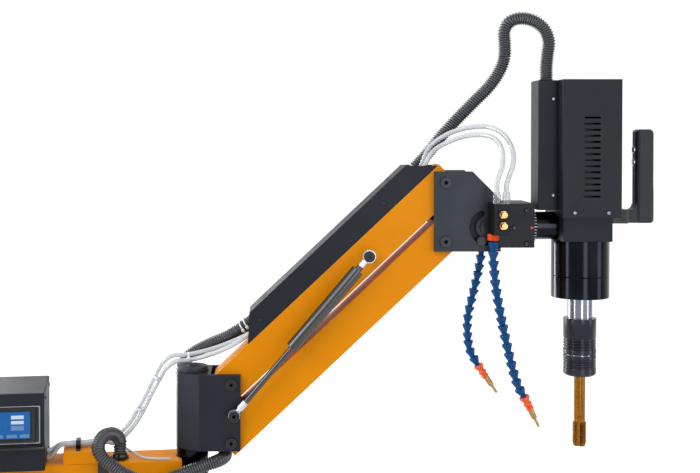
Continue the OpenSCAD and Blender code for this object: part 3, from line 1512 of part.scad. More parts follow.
module upper_tubes() color(clear) {
    for (k = [0, 1]) let (p = [outer_arc_route, inner_arc_route][k], side = 1 - 2 * k,
            exit = [fitting_mid_x + side * fitting_gap / 2, fitting_y, valve_top + fitting_h + face_gap])
        plain_tube(smooth(pinned(p, link_place(tube_end + face_gap, tube_lanes[k]), tilt_place(exit))),
            clear_r);
}

base_plate();
column();
column_shaft();
first_arm();
arm_bearings();
knuckle_post();
saddle_block();
cable_clips();
conduit_gland();
control_box();
screen_frame();
touch_screen();
power_inlet();
power_rocker();
knuckle_bracket();
post_cap();
knuckle_bearings();
knuckle_pins();
upper_beam();
upper_bushes();
cable_cover();
spring_stud();
lower_beam();
lower_bushes();
gas_tube();
gas_rod();
bracket_plates();
bracket_pins();
tilt_block();
tilt_pin();
tilt_lock_bolt();
valve_block();
tube_fittings();
valve_knob_top();
valve_knob_bottom();
rear_outlet();
front_hose();
front_nozzle();
rear_hose();
rear_nozzle();
roll_shaft();
scale_ring();
gear_mount();
motor_cover();
servo_motor();
cable_channel();
gearbox();
handle_clamp();
handle();
start_button();
reverse_button();
spindle();
chuck_sleeve();
tap_adapter();
adapter_ring();
tap();
lower_conduit();
upper_conduit();
lower_tubes();
upper_tubes();
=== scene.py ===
"""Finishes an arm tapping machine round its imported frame: cords, rounded shells, screws, marks and materials.

Lengths are metres in the frame's own axes: +X to the right, +Y back, +Z up, the base on the floor.
"""

from __future__ import annotations

import json
import logging
import math
from dataclasses import dataclass
from enum import Enum
from functools import cache
from typing import Mapping, Sequence

import bmesh
import bpy
import numpy as np
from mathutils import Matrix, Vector

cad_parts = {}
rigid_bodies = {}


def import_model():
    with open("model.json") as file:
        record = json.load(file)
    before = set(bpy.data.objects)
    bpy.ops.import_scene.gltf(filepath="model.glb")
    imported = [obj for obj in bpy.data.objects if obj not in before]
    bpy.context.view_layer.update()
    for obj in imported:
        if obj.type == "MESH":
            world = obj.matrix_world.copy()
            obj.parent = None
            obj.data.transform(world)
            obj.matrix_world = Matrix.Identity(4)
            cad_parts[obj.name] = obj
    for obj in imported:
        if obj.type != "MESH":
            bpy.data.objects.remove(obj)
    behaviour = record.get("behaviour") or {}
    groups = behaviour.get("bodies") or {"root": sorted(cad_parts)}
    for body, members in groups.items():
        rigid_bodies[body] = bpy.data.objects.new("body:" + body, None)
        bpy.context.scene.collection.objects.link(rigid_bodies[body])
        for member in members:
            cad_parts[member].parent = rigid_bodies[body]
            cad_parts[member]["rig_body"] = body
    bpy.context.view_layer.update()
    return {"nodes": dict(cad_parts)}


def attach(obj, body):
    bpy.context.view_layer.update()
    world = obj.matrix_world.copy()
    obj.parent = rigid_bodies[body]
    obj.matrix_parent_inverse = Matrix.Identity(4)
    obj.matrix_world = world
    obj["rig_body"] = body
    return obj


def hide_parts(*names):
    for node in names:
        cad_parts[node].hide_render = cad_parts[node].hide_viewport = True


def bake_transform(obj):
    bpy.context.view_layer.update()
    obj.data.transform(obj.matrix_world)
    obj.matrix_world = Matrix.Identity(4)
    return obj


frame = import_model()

MM = 0.001
log = logging.getLogger("tapping_arm")

Colour = tuple[float, float, float, float]
Point = tuple[float, float, float]
WHITE: Colour = (1.0, 1.0, 1.0, 1.0)
UP: Point = (0.0, 0.0, 1.0)


def srgb(red: int, green: int, blue: int) -> Colour:
    """Turns a colour as a screen shows it into the linear one that shaders take.

    Args:
        red: Red from 0 to 255.
        green: Green from 0 to 255.
        blue: Blue from 0 to 255.

    Returns:
        Linear red, green, blue and an alpha of 1.
    """
    linear = [((c / 255 + 0.055) / 1.055) ** 2.4 if c > 10 else c / 255 / 12.92 for c in (red, green, blue)]
    return (linear[0], linear[1], linear[2], 1.0)


# Node trees


class Nodes:
    """A node tree with a short way to add and feed its nodes."""

    def __init__(self, tree: bpy.types.NodeTree) -> None:
        """Takes over a tree and empties it."""
        self.tree = tree
        tree.nodes.clear()

    def feed(self, node: bpy.types.Node, key: object, value: object) -> None:
        """Links or sets one input of a node.

        Args:
            node: The node.
            key: The input's name or number.
            value: A shader value, a socket or a plain value.
        """
        if isinstance(value, Value):
            value = value.socket
        if isinstance(value, bpy.types.NodeSocket):
            self.tree.links.new(value, node.inputs[key])
        else:
            node.inputs[key].default_value = value

    def node(self, kind: str, settings: Mapping[str, object] | None = None,
             inputs: Mapping[object, object] | None = None) -> bpy.types.Node:
        """Adds any node.

        Args:
            kind: The node's type.
            settings: Its settings, which are set first.
            inputs: Values or links by socket name or number.

        Returns:
            The new node.
        """
        made = self.tree.nodes.new(kind)
        for key, value in (settings or {}).items():
            setattr(made, key, value)
        for key, value in (inputs or {}).items():
            self.feed(made, key, value)
        return made


# Shader maths


class Value:
    """A shader socket that takes part in sums; each sum adds a Math node."""

    def __init__(self, shader: "Shader", socket: bpy.types.NodeSocket) -> None:
        """Keeps the socket and the shader that it is part of."""
        self.shader = shader
        self.socket = socket

    def _sum(self, operation: str, first: object, second: object) -> "Value":
        """Adds a Math node.

        Args:
            operation: The Math node's operation.
            first: The first value or number.
            second: The second value or number.

        Returns:
            The node's result.
        """
        made = self.shader.node("ShaderNodeMath", {"operation": operation}, {0: first, 1: second})
        return Value(self.shader, made.outputs[0])

    def __add__(self, other: object) -> "Value":
        """This plus other."""
        return self._sum("ADD", self, other)

    def __radd__(self, other: object) -> "Value":
        """Other plus this."""
        return self._sum("ADD", other, self)

    def __sub__(self, other: object) -> "Value":
        """This less other."""
        return self._sum("SUBTRACT", self, other)

    def __rsub__(self, other: object) -> "Value":
        """Other less this."""
        return self._sum("SUBTRACT", other, self)

    def __mul__(self, other: object) -> "Value":
        """This times other."""
        return self._sum("MULTIPLY", self, other)

    def __rmul__(self, other: object) -> "Value":
        """Other times this."""
        return self._sum("MULTIPLY", other, self)

    def above(self, limit: object) -> "Value":
        """1 where this is over limit, else 0."""
        return self._sum("GREATER_THAN", self, limit)

    def below(self, limit: object) -> "Value":
        """1 where this is under limit, else 0."""
        return self._sum("LESS_THAN", self, limit)

    def between(self, low: float, high: float) -> "Value":
        """1 where this lies between low and high, else 0."""
        return self.above(low) * self.below(high)


class Shader(Nodes):
    """One material and its nodes."""

    def __init__(self, name: str) -> None:
        """Starts a material with one principled shader.

        Args:
            name: The material's name.
        """
        self.material = bpy.data.materials.new(name)
        self.material.use_nodes = True
        super().__init__(self.material.node_tree)
        self.surface = self.node("ShaderNodeBsdfPrincipled")
        self.node("ShaderNodeOutputMaterial", {}, {"Surface": self.surface.outputs[0]})

    def paint(self, **sockets: object) -> bpy.types.Material:
        """Sets the principled shader's inputs by their names, with _ for a space.

        Args:
            sockets: A value, a socket or a number for each input.

        Returns:
            The finished material.
        """
        for name, value in sockets.items():
            self.feed(self.surface, NAMED_SOCKETS[name], value)
        return self.material

    def place(self, stretch: Point = (1.0, 1.0, 1.0), turn: Point = (0.0, 0.0, 0.0),
              centre: Point = (0.0, 0.0, 0.0)) -> bpy.types.NodeSocket:
        """The surface's place in the frame, shifted, turned and stretched.

        Args:
            stretch: Scale along each axis.
            turn: Turn about each axis, in radians.
            centre: The place that becomes the origin.

        Returns:
            The vector socket.
        """
        found = self.node("ShaderNodeTexCoord").outputs["Object"]
        for move, value in (("Location", [-c for c in centre]), ("Rotation", turn), ("Scale", stretch)):
            found = self.node("ShaderNodeMapping", {"vector_type": "POINT"},
                              {"Vector": found, move: value}).outputs[0]
        return found

    def axes(self, place: bpy.types.NodeSocket) -> tuple[Value, Value, Value]:
        """Splits a vector into its three values."""
        split = self.node("ShaderNodeSeparateXYZ", {}, {0: place})
        return tuple(Value(self, out) for out in split.outputs)

    def noise(self, place: bpy.types.NodeSocket, size: float, detail: float = 2.0) -> Value:
        """Soft random patches.

        Args:
            place: Where to look the pattern up.
            size: The size of a patch in metres.
            detail: How many finer layers there are.

        Returns:
            A value from 0 to 1.
        """
        made = self.node("ShaderNodeTexNoise", {}, {"Vector": place, "Scale": 1.0 / size, "Detail": detail})
        return Value(self, made.outputs[0])

    def eased(self, value: Value, low: float, high: float) -> Value:
        """Stretches a range onto 0 to 1 and holds what lies outside it at its ends.

        Args:
            value: The value.
            low: What becomes 0.
            high: What becomes 1.

        Returns:
            A value from 0 to 1.
        """
        made = self.node("ShaderNodeMapRange", {"clamp": True},
                         {"Value": value, "From Min": low, "From Max": high})
        return Value(self, made.outputs[0])

    def mix(self, share: Value, first: object, second: object) -> bpy.types.NodeSocket:
        """Mixes two colours.

        Args:
            share: 0 for the first and 1 for the second.
            first: A colour or a colour socket.
            second: A colour or a colour socket.

        Returns:
            The mixed colour's socket.
        """
        return self.node("ShaderNodeMix", {"data_type": "RGBA"}, {0: share, 6: first, 7: second}).outputs[2]

    def bump(self, height: Value, depth: float) -> None:
        """Raises the surface by a height from 0 to 1 times a depth in metres."""
        made = self.node("ShaderNodeBump", {}, {"Height": height, "Distance": depth, "Strength": 1.0})
        self.feed(self.surface, "Normal", made.outputs[0])


# Finishes


NAMED_SOCKETS = {"colour": "Base Color", "roughness": "Roughness", "metallic": "Metallic",
                 "specular": "Specular IOR Level", "alpha": "Alpha", "coat": "Coat Weight",
                 "coat_roughness": "Coat Roughness", "emission": "Emission Color",
                 "emission_strength": "Emission Strength"}


class Grain(Enum):
    """How a surface was worked, which sets the direction of its fine marks."""

    POWDER = (1.0, 1.0, 1.0)
    TURNED_ON_Z = (0.02, 0.02, 1.0)
    TURNED_ON_X = (1.0, 0.02, 0.02)


@dataclass(frozen=True)
class Finish:
    """A painted, moulded or bare surface with fine marks, broad patches and a little dust."""

    name: str
    colour: Colour
    patch: Colour
    roughness: float
    metallic: float = 0.0
    specular: float = 0.5
    grain: Grain = Grain.POWDER
    grain_size: float = 0.0009
    grain_depth: float = 0.00003
    patch_size: float = 0.06
    patch_share: float = 0.5
    roughness_swing: float = 0.12

    def material(self) -> bpy.types.Material:
        """The finish's material.

        Returns:
            The material.
        """
        shader = Shader(self.name)
        fine = shader.noise(shader.place(stretch=self.grain.value), self.grain_size, 2.0)
        broad = shader.eased(shader.noise(shader.place(), self.patch_size, 4.0), 0.35, 0.7)
        shader.bump(fine, self.grain_depth)
        return shader.paint(
            colour=shader.mix(broad * self.patch_share + (fine - 0.5) * 0.25, self.colour, self.patch),
            roughness=self.roughness + (broad + fine - 1.0) * self.roughness_swing,
            metallic=self.metallic, specular=self.specular)


@dataclass(frozen=True)
class SocketedBlock:
    """A black block whose hose socket, under a height, is orange."""

    name: str
    height: float

    def material(self) -> bpy.types.Material:
        """The block's material.

        Returns:
            The material.
        """
        shader = Shader(self.name)
        _, _, up = shader.axes(shader.place())
        fine = shader.noise(shader.place(), 0.0007)
        black = shader.mix(fine, srgb(11, 12, 16), srgb(18, 19, 24))
        orange = shader.mix(fine, srgb(240, 84, 20), srgb(224, 72, 14))
        return shader.paint(colour=shader.mix(up.below(self.height), black, orange),
                            roughness=fine * 0.1 + 0.36, specular=0.1)


@dataclass(frozen=True)
class RibbedNylon:
    """Black corrugated nylon, with painted shade between its ribs and a painted highlight on their crests."""

    name: str

    def material(self) -> bpy.types.Material:
        """The conduit's material, which reads the tube's own note of its crests.

        Returns:
            The material.
        """
        shader = Shader(self.name)
        crest = Value(shader, shader.node("ShaderNodeAttribute", {"attribute_name": "crest"}).outputs["Fac"])
        fine = shader.noise(shader.place(), 0.0015, 2.0)
        # Painted light: the valleys are painted dark as shade and the crests light as a highlight.
        return shader.paint(colour=shader.mix(crest * (fine * 0.5 + 0.6), srgb(8, 9, 11), srgb(64, 68, 78)),
                            roughness=0.52 - crest * 0.3 + fine * 0.06, specular=0.45)


@dataclass(frozen=True)
class ClearPlastic:
    """Clear polyurethane, milky along its edges, where its colour also greys as painted shade."""

    name: str
    colour: Colour
    cloud: Colour
    body: float
    roughness: float = 0.16

    def material(self) -> bpy.types.Material:
        """The clear plastic's material.

        Returns:
            The material.
        """
        shader = Shader(self.name)
        clouds = shader.noise(shader.place(), 0.04, 1.0)
        edge = Value(shader, shader.node("ShaderNodeLayerWeight", {}, {"Blend": 0.5}).outputs["Facing"])
        pale = shader.mix(clouds, self.colour, self.cloud)
        # Painted shade: the colour turns grey towards the edges as the camera sees them.
        return shader.paint(colour=shader.mix(edge * edge * edge * 0.8, pale, srgb(136, 144, 156)),
                            alpha=edge * edge * 0.4 + clouds * 0.08 + self.body,
                            roughness=self.roughness + clouds * 0.1, coat=0.6, coat_roughness=0.08)


@dataclass(frozen=True)
class ScreenGlass:
    """A lit touch screen with a plain grid of blank keys and readings.

    Each rectangle is its left, right, low and high edge as shares of the half width and height.
    """

    name: str
    centre: Point
    yaw: float
    width: float
    height: float
    lit: tuple[float, ...] = (-0.92, 0.92, -0.9, 0.9)
    bright: tuple[tuple[float, ...], ...] = (
        (0.32, 0.72, 0.42, 0.66), (0.32, 0.72, 0.08, 0.3), (-0.84, -0.1, 0.42, 0.66),
        (-0.84, -0.1, 0.0, 0.24), (-0.84, -0.1, -0.42, -0.2))
    dim: tuple[float, ...] = (0.32, 0.72, -0.34, -0.02)
    foot: tuple[tuple[float, ...], ...] = (
        (0.6, 0.88, -0.84, -0.62), (0.18, 0.5, -0.84, -0.62), (-0.3, 0.06, -0.84, -0.62),
        (-0.82, -0.42, -0.84, -0.62))

    def material(self) -> bpy.types.Material:
        """The lit screen's material.

        Returns:
            The material.
        """
        shader = Shader(self.name)
        across, _, up = shader.axes(shader.place(turn=(0.0, 0.0, -self.yaw), centre=self.centre))
        right, top = self.width / 2, self.height / 2

        def inside(*areas: tuple[float, ...]) -> Value:
            """1 inside any of some rectangles, else 0."""
            return sum((across.between(a * right, b * right) * up.between(c * top, d * top)
                        for a, b, c, d in areas), 0.0)

        glow = shader.noise(shader.place(), 0.03, 1.0)
        field = shader.mix(glow, srgb(4, 84, 150), srgb(14, 100, 172))
        colour = shader.mix(inside(*self.bright), field, srgb(196, 212, 226))
        colour = shader.mix(inside(self.dim) * 0.6 + inside(*self.foot) * 0.55, colour, srgb(122, 156, 196))
        lit = inside(self.lit)
        return shader.paint(colour=shader.mix(lit, srgb(26, 28, 32), colour),
                            emission=shader.mix(lit, (0.0, 0.0, 0.0, 1.0), colour),
                            emission_strength=0.08, specular=0.2, roughness=glow * 0.06 + 0.12)


@dataclass(frozen=True)
class SpringEnd:
    """A gas spring part, black between two runs along its axis and zinc plated outside them."""

    name: str
    black_from: float
    black_to: float
    foot: Point = (0.4708, -0.00848, 0.5413)
    rise: float = math.radians(49.74)

    def material(self) -> bpy.types.Material:
        """The spring's material.

        Returns:
            The material.
        """
        shader = Shader(self.name)
        along, _, _ = shader.axes(shader.place(turn=(0.0, self.rise, 0.0), centre=self.foot))
        fine = shader.noise(shader.place(), 0.0012, 2.0)
        body = along.between(self.black_from, self.black_to)
        black = shader.mix(fine, srgb(14, 14, 16), srgb(24, 24, 27))
        zinc = shader.mix(fine, srgb(196, 200, 205), srgb(158, 162, 169))
        shader.bump(fine, 0.00001)
        return shader.paint(colour=shader.mix(body, zinc, black), metallic=0.9 - body * 0.75,
                            roughness=0.36 - body * 0.18 + fine * 0.06, coat=body * 0.6)


AnyFinish = Finish | SocketedBlock | RibbedNylon | ClearPlastic | ScreenGlass | SpringEnd

YELLOW = Finish("yellow_powder_coat", srgb(234, 145, 0), srgb(228, 136, 0), 0.42, specular=0.06,
                grain_size=0.0012, grain_depth=0.00002, patch_share=0.35, roughness_swing=0.08)
BLACK = Finish("black_texture_paint", srgb(25, 29, 37), srgb(33, 37, 46), 0.48, specular=0.12,
               grain_size=0.0008, grain_depth=0.00006)
BLACK_PLATE = Finish("black_plate_paint", srgb(28, 32, 41), srgb(36, 40, 50), 0.44, specular=0.14,
                     grain_size=0.0007, grain_depth=0.00004)
BRACKET_PAINT = Finish("bracket_paint", srgb(41, 46, 56), srgb(49, 54, 65), 0.42, specular=0.14,
                       grain_size=0.0007, grain_depth=0.00004)
BLACK_OXIDE = Finish("black_oxide_steel", srgb(26, 28, 34), srgb(36, 39, 46), 0.36, specular=0.2,
                     grain_size=0.0006, grain_depth=0.00001)
# Painted highlight: light rings on the edges of bolt heads and on the lips of their sockets.
PAINTED_HIGHLIGHT = Finish("rubbed_edge", srgb(62, 65, 73), srgb(46, 49, 56), 0.42, specular=0.2,
                     grain_size=0.0005, grain_depth=0.00001, patch_size=0.004)
BLACK_ANODISED = Finish("black_anodised", srgb(20, 21, 24), srgb(30, 31, 35), 0.3, metallic=0.2,
                        specular=0.35, grain_size=0.0007, grain_depth=0.00001)
BLACK_TURNED = Finish("black_turned", srgb(19, 20, 24), srgb(29, 30, 35), 0.16, metallic=1.0,
                      grain=Grain.TURNED_ON_Z, grain_size=0.0006, grain_depth=0.00002)
BLACK_SLEEVE = Finish("black_sleeve", srgb(38, 39, 46), srgb(48, 50, 57), 0.3, metallic=0.9,
                      grain=Grain.TURNED_ON_Z, grain_size=0.0006, grain_depth=0.00002)
BLACK_SHAFT = Finish("black_shaft", srgb(22, 23, 27), srgb(34, 35, 41), 0.15, metallic=1.0,
                     grain=Grain.TURNED_ON_X, grain_size=0.0006, grain_depth=0.00002)
BLACK_NYLON = Finish("black_nylon", srgb(18, 19, 23), srgb(28, 29, 34), 0.3, specular=0.3, grain_size=0.002,
                     grain_depth=0.00002, patch_size=0.03)
BLACK_GRIP = Finish("black_grip", srgb(24, 27, 35), srgb(33, 37, 46), 0.46, specular=0.2, grain_size=0.0007,
                    grain_depth=0.00008)
OUTLINE_SILVER = Finish("outline_silver", srgb(140, 144, 152), srgb(122, 126, 134), 0.36, metallic=0.4,
                        grain_size=0.0006, grain_depth=0.00001, patch_size=0.02)
DARK_PANEL = Finish("dark_panel", srgb(17, 18, 22), srgb(24, 25, 30), 0.26, specular=0.3, grain_size=0.0009,
                    grain_depth=0.00001)
STEEL = Finish("machined_steel", srgb(118, 122, 131), srgb(92, 96, 105), 0.18, metallic=1.0,
               grain=Grain.TURNED_ON_Z, grain_size=0.0007, grain_depth=0.00003, patch_size=0.03)
SCREW_STEEL = Finish("screw_steel", srgb(112, 115, 121), srgb(78, 80, 86), 0.26, metallic=0.95,
                     grain_size=0.0005, grain_depth=0.00001, patch_size=0.006)
SILVER_TRIM = Finish("silver_trim", srgb(196, 199, 204), srgb(178, 181, 187), 0.3, metallic=0.85,
                     grain_size=0.0006, grain_depth=0.00002, patch_size=0.02)
BRONZE = Finish("sintered_bronze", srgb(150, 112, 66), srgb(126, 92, 52), 0.42, metallic=0.9,
                grain_size=0.0005, grain_depth=0.00005)
NOZZLE_BRASS = Finish("dull_brass", srgb(152, 122, 74), srgb(118, 90, 50), 0.34, metallic=1.0,
                      grain_size=0.0005, grain_depth=0.00002, patch_size=0.008)
BRASS = Finish("turned_brass", srgb(168, 124, 80), srgb(134, 94, 54), 0.32, metallic=1.0, grain_size=0.0005,
               grain_depth=0.00002, patch_size=0.01)
GOLD_COAT = Finish("gold_nitride", srgb(120, 78, 26), srgb(92, 58, 15), 0.28, metallic=1.0,
                   grain=Grain.TURNED_ON_Z, grain_size=0.0005, grain_depth=0.00003, patch_size=0.01)
HOSE_BLUE = Finish("blue_hose_cup", srgb(0, 70, 128), srgb(4, 82, 144), 0.36, specular=0.12,
                   grain_size=0.001, grain_depth=0.00002, patch_size=0.02)
HOSE_ORANGE = Finish("hose_orange", srgb(243, 92, 14), srgb(230, 78, 10), 0.38, specular=0.4,
                     grain_size=0.001, grain_depth=0.00002, patch_size=0.02)
TIE_WHITE = Finish("tie_white", srgb(226, 228, 228), srgb(206, 209, 210), 0.4, grain_size=0.001,
                   patch_size=0.004)
MARK_WHITE = Finish("mark_white", srgb(230, 232, 234), srgb(214, 217, 220), 0.5, grain_size=0.0006,
                    patch_size=0.004)
MARK_RED = Finish("mark_red", srgb(206, 32, 40), srgb(188, 26, 32), 0.45, grain_size=0.0006,
                  patch_size=0.004)
# Painted shade: dark discs on the floors of bolt sockets, and dark rings where screw counterbores would lie in
# shade.
PAINTED_SHADE = Finish("dark_well", srgb(8, 8, 10), srgb(12, 12, 14), 0.8, specular=0.05, grain_size=0.002)
CLEAR_TUBE = ClearPlastic("clear_tube", srgb(200, 206, 213), srgb(216, 221, 226), 0.66)
CLEAR_FITTING = ClearPlastic("clear_fitting", srgb(126, 134, 146), srgb(172, 179, 188), 0.34, 0.1)
RIBBED = RibbedNylon("ribbed_nylon")
VALVE_BLOCK_COAT = SocketedBlock("valve_block_finish", 0.8483)
REAR_OUTLET_COAT = SocketedBlock("rear_outlet_finish", 0.8453)

MADE: dict[str, bpy.types.Material] = {}


def material_of(finish: AnyFinish) -> bpy.types.Material:
    """The material of a finish, made at its first use.

    Args:
        finish: The finish.

    Returns:
        The material, under the finish's own name.
    """
    if finish.name not in MADE:
        MADE[finish.name] = finish.material()
    return MADE[finish.name]


# Geometry Nodes


class GeoTree(Nodes):
    """A Geometry Nodes tree with named inputs, ending in Realize Instances and Set Material."""

    def __init__(self, name: str) -> None:
        """Starts a tree that takes and gives geometry.

        Args:
            name: The tree's name.
        """
        super().__init__(bpy.data.node_groups.new(name, "GeometryNodeTree"))
        self.ids: dict[str, str] = {}
        self.source, self.end = self.node("NodeGroupInput"), self.node("NodeGroupOutput")
        self.named("Geometry", "NodeSocketGeometry")
        self.tree.interface.new_socket("Geometry", in_out="OUTPUT", socket_type="NodeSocketGeometry")

    def named(self, name: str, kind: str = "NodeSocketFloat") -> bpy.types.NodeSocket:
        """Adds a named input.

        Args:
            name: The input's name.
            kind: Its socket type.

        Returns:
            The socket to link from.
        """
        item = self.tree.interface.new_socket(name, in_out="INPUT", socket_type=kind)
        self.ids[name] = item.identifier
        return next(s for s in self.source.outputs if s.identifier == item.identifier)

    def close(self, geometry: bpy.types.NodeSocket) -> "GeoTree":
        """Realizes what the tree made and gives it its material.

        Args:
            geometry: What the tree made.

        Returns:
            The tree itself.
        """
        finish = self.named("Finish", "NodeSocketMaterial")
        real = self.node("GeometryNodeRealizeInstances", {}, {0: geometry})
        coated = self.node("GeometryNodeSetMaterial", {}, {"Geometry": real.outputs[0], "Material": finish})
        self.tree.links.new(coated.outputs[0], self.end.inputs[0])
        return self

    def grow(self, name: str, seed: bpy.types.Mesh, values: dict[str, object]) -> bpy.types.Object:
        """Runs the tree on a mesh and keeps the result as a plain mesh.

        Args:
            name: The new piece's name.
            seed: The points or edges that the tree starts from.
            values: The tree's inputs by name.

        Returns:
            The finished object, without a modifier.
        """
        piece = new_object(name, seed)
        grown = piece.modifiers.new("grow", "NODES")
        grown.node_group = self.tree
        for key, value in values.items():
            grown[self.ids[key]] = value
        result = evaluated(piece)
        piece.modifiers.clear()
        piece.data = result
        result.name = name
        return piece


@cache
def tube_tree() -> GeoTree:
    """A tube along a line of edges, whose radius steps from valley to rib at every other pair of rings.

    Returns:
        The tree.
    """
    tree = GeoTree("tube_on_a_route")
    rings = tree.named("Rings", "NodeSocketInt")
    valley, rib = tree.named("Valley radius"), tree.named("Rib radius")
    sides, caps = tree.named("Sides", "NodeSocketInt"), tree.named("Closed", "NodeSocketBool")
    line = tree.node("GeometryNodeMeshToCurve", {}, {0: tree.source.outputs[0]})
    even = tree.node("GeometryNodeResampleCurve", {"mode": "COUNT"},
                     {"Curve": line.outputs[0], "Count": rings})
    index = tree.node("GeometryNodeInputIndex")
    phase = tree.node("ShaderNodeMath", {"operation": "MODULO"}, {0: index.outputs[0], 1: 4.0})
    high = tree.node("ShaderNodeMath", {"operation": "COMPARE"}, {0: phase.outputs[0], 1: 2.5, 2: 0.6})
    radius = tree.node("ShaderNodeMix", {"data_type": "FLOAT"}, {0: high.outputs[0], 2: valley, 3: rib})
    ring = tree.node("GeometryNodeCurvePrimitiveCircle", {"mode": "RADIUS"},
                     {"Resolution": sides, "Radius": 1.0})
    noted = tree.node("GeometryNodeStoreNamedAttribute", {"data_type": "FLOAT", "domain": "POINT"},
                      {"Geometry": even.outputs[0], "Name": "crest", "Value": high.outputs[0]})
    skin = tree.node("GeometryNodeCurveToMesh", {}, {
        "Curve": noted.outputs[0], "Profile Curve": ring.outputs[0], "Scale": radius.outputs[0],
        "Fill Caps": caps})
    soft = tree.node("GeometryNodeSetShadeSmooth", {}, {"Geometry": skin.outputs[0]})
    return tree.close(soft.outputs[0])


@cache
def placed_tree() -> GeoTree:
    """Copies of one shape on points, each facing and turned as the point's own two directions say.

    Returns:
        The tree.
    """
    tree = GeoTree("shapes_on_points")
    shape = tree.named("Shape", "NodeSocketObject")
    facing, along = (tree.node("GeometryNodeInputNamedAttribute", {"data_type": "FLOAT_VECTOR"},
                               {"Name": name}) for name in ("facing", "along"))
    up = tree.node("FunctionNodeAlignRotationToVector", {"axis": "Z"}, {"Vector": facing.outputs[0]})
    turned = tree.node("FunctionNodeAlignRotationToVector", {"axis": "X", "pivot_axis": "Z"},
                       {"Rotation": up.outputs[0], "Vector": along.outputs[0]})
    points = tree.node("GeometryNodeMeshToPoints", {}, {"Mesh": tree.source.outputs[0]})
    info = tree.node("GeometryNodeObjectInfo", {}, {"Object": shape, "As Instance": True})
    copies = tree.node("GeometryNodeInstanceOnPoints", {}, {
        "Points": points.outputs[0], "Instance": info.outputs["Geometry"], "Rotation": turned.outputs[0]})
    return tree.close(copies.outputs[0])


# Meshes


WELD = 0.000005
FLAT_DEG = 0.6


def mesh_of(name: str, verts: Sequence[Sequence[float]], faces: Sequence[Sequence[int]],
            edges: Sequence[Sequence[int]] = ()) -> bpy.types.Mesh:
    """A mesh from its points, faces and edges.

    Args:
        name: The mesh's name.
        verts: Its points.
        faces: The points of each face, by number.
        edges: The two points of each edge that has no face.

    Returns:
        The mesh.
    """
    made = bpy.data.meshes.new(name)
    made.from_pydata([tuple(v) for v in verts], [tuple(e) for e in edges], [tuple(f) for f in faces])
    made.update()
    return made


def mesh_from(name: str, work: bmesh.types.BMesh) -> bpy.types.Mesh:
    """Turns a worked mesh into a kept one and lets go of it.

    Args:
        name: The mesh's name.
        work: The worked mesh.

    Returns:
        The mesh.
    """
    made = bpy.data.meshes.new(name)
    work.to_mesh(made)
    work.free()
    return made


def round_edges(work: bmesh.types.BMesh, width: float) -> None:
    """Rounds every edge of a worked mesh."""
    bmesh.ops.bevel(work, geom=work.edges, offset=width, segments=2, profile=0.5, affect="EDGES")


def new_object(name: str, data: bpy.types.ID) -> bpy.types.Object:
    """Adds an object to the scene.

    Args:
        name: The object's name.
        data: Its mesh, lamp or camera.

    Returns:
        The object.
    """
    made = bpy.data.objects.new(name, data)
    bpy.context.scene.collection.objects.link(made)
    return made


def evaluated(piece: bpy.types.Object) -> bpy.types.Mesh:
    """The mesh that an object's modifiers give."""
    bpy.context.view_layer.update()
    return bpy.data.meshes.new_from_object(piece.evaluated_get(bpy.context.evaluated_depsgraph_get()))


def shown(name: str, mesh: bpy.types.Mesh, finish: AnyFinish, body: str, angle: float = 32.0
          ) -> bpy.types.Object:
    """Turns a mesh into a piece that rides on a body.

    Args:
        name: The piece's name.
        mesh: Its mesh, in place.
        finish: The finish that it gets.
        body: The CAD body that carries it.
        angle: Edges sharper than this many degrees stay sharp.

    Returns:
        The piece.
    """
    piece = new_object(name, mesh)
    mesh.materials.clear()
    mesh.materials.append(material_of(finish))
    mesh.shade_smooth()
    mesh.set_sharp_from_angle(angle=math.radians(angle))
    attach(piece, body)
    log.info("%s rides on %s", name, body)
    return piece


def body_with(node: str) -> str:
    """The body that holds a CAD node."""
    return frame["nodes"][node]["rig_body"]


def paint(node: str, finish: AnyFinish) -> None:
    """Gives a CAD node its finish and leaves its shape as it is.

    Args:
        node: The CAD node.
        finish: The finish that it gets.
    """
    slots = frame["nodes"][node].data.materials
    slots.clear()
    slots.append(material_of(finish))
    log.info("%s is finished in %s", node, finish.name)


def softened(node: str, finish: AnyFinish, width: float, angle: float = 38.0, segments: int = 2
             ) -> bpy.types.Object:
    """A copy of a CAD node whose sharp edges are rounded, which stands for it.

    Args:
        node: The CAD node.
        finish: The finish that it gets.
        width: The width of the rounding in metres.
        angle: Edges sharper than this many degrees are rounded.
        segments: How many facets the rounding has.

    Returns:
        The piece.
    """
    work = bmesh.new()
    work.from_mesh(frame["nodes"][node].data)
    bmesh.ops.remove_doubles(work, verts=work.verts, dist=WELD)
    bmesh.ops.dissolve_limit(work, angle_limit=math.radians(FLAT_DEG), verts=work.verts, edges=work.edges)
    piece = new_object(node + "_body", mesh_from(node + "_body", work))
    round_over = piece.modifiers.new("round", "BEVEL")
    for key, value in {"width": width, "segments": segments, "limit_method": "ANGLE",
                       "angle_limit": math.radians(angle), "miter_outer": "MITER_ARC"}.items():
        setattr(round_over, key, value)
    result = evaluated(piece)
    bpy.data.objects.remove(piece)
    made = shown(node + "_body", result, finish, body_with(node), 45.0 / segments - 2.0)
    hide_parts(node)
    return made


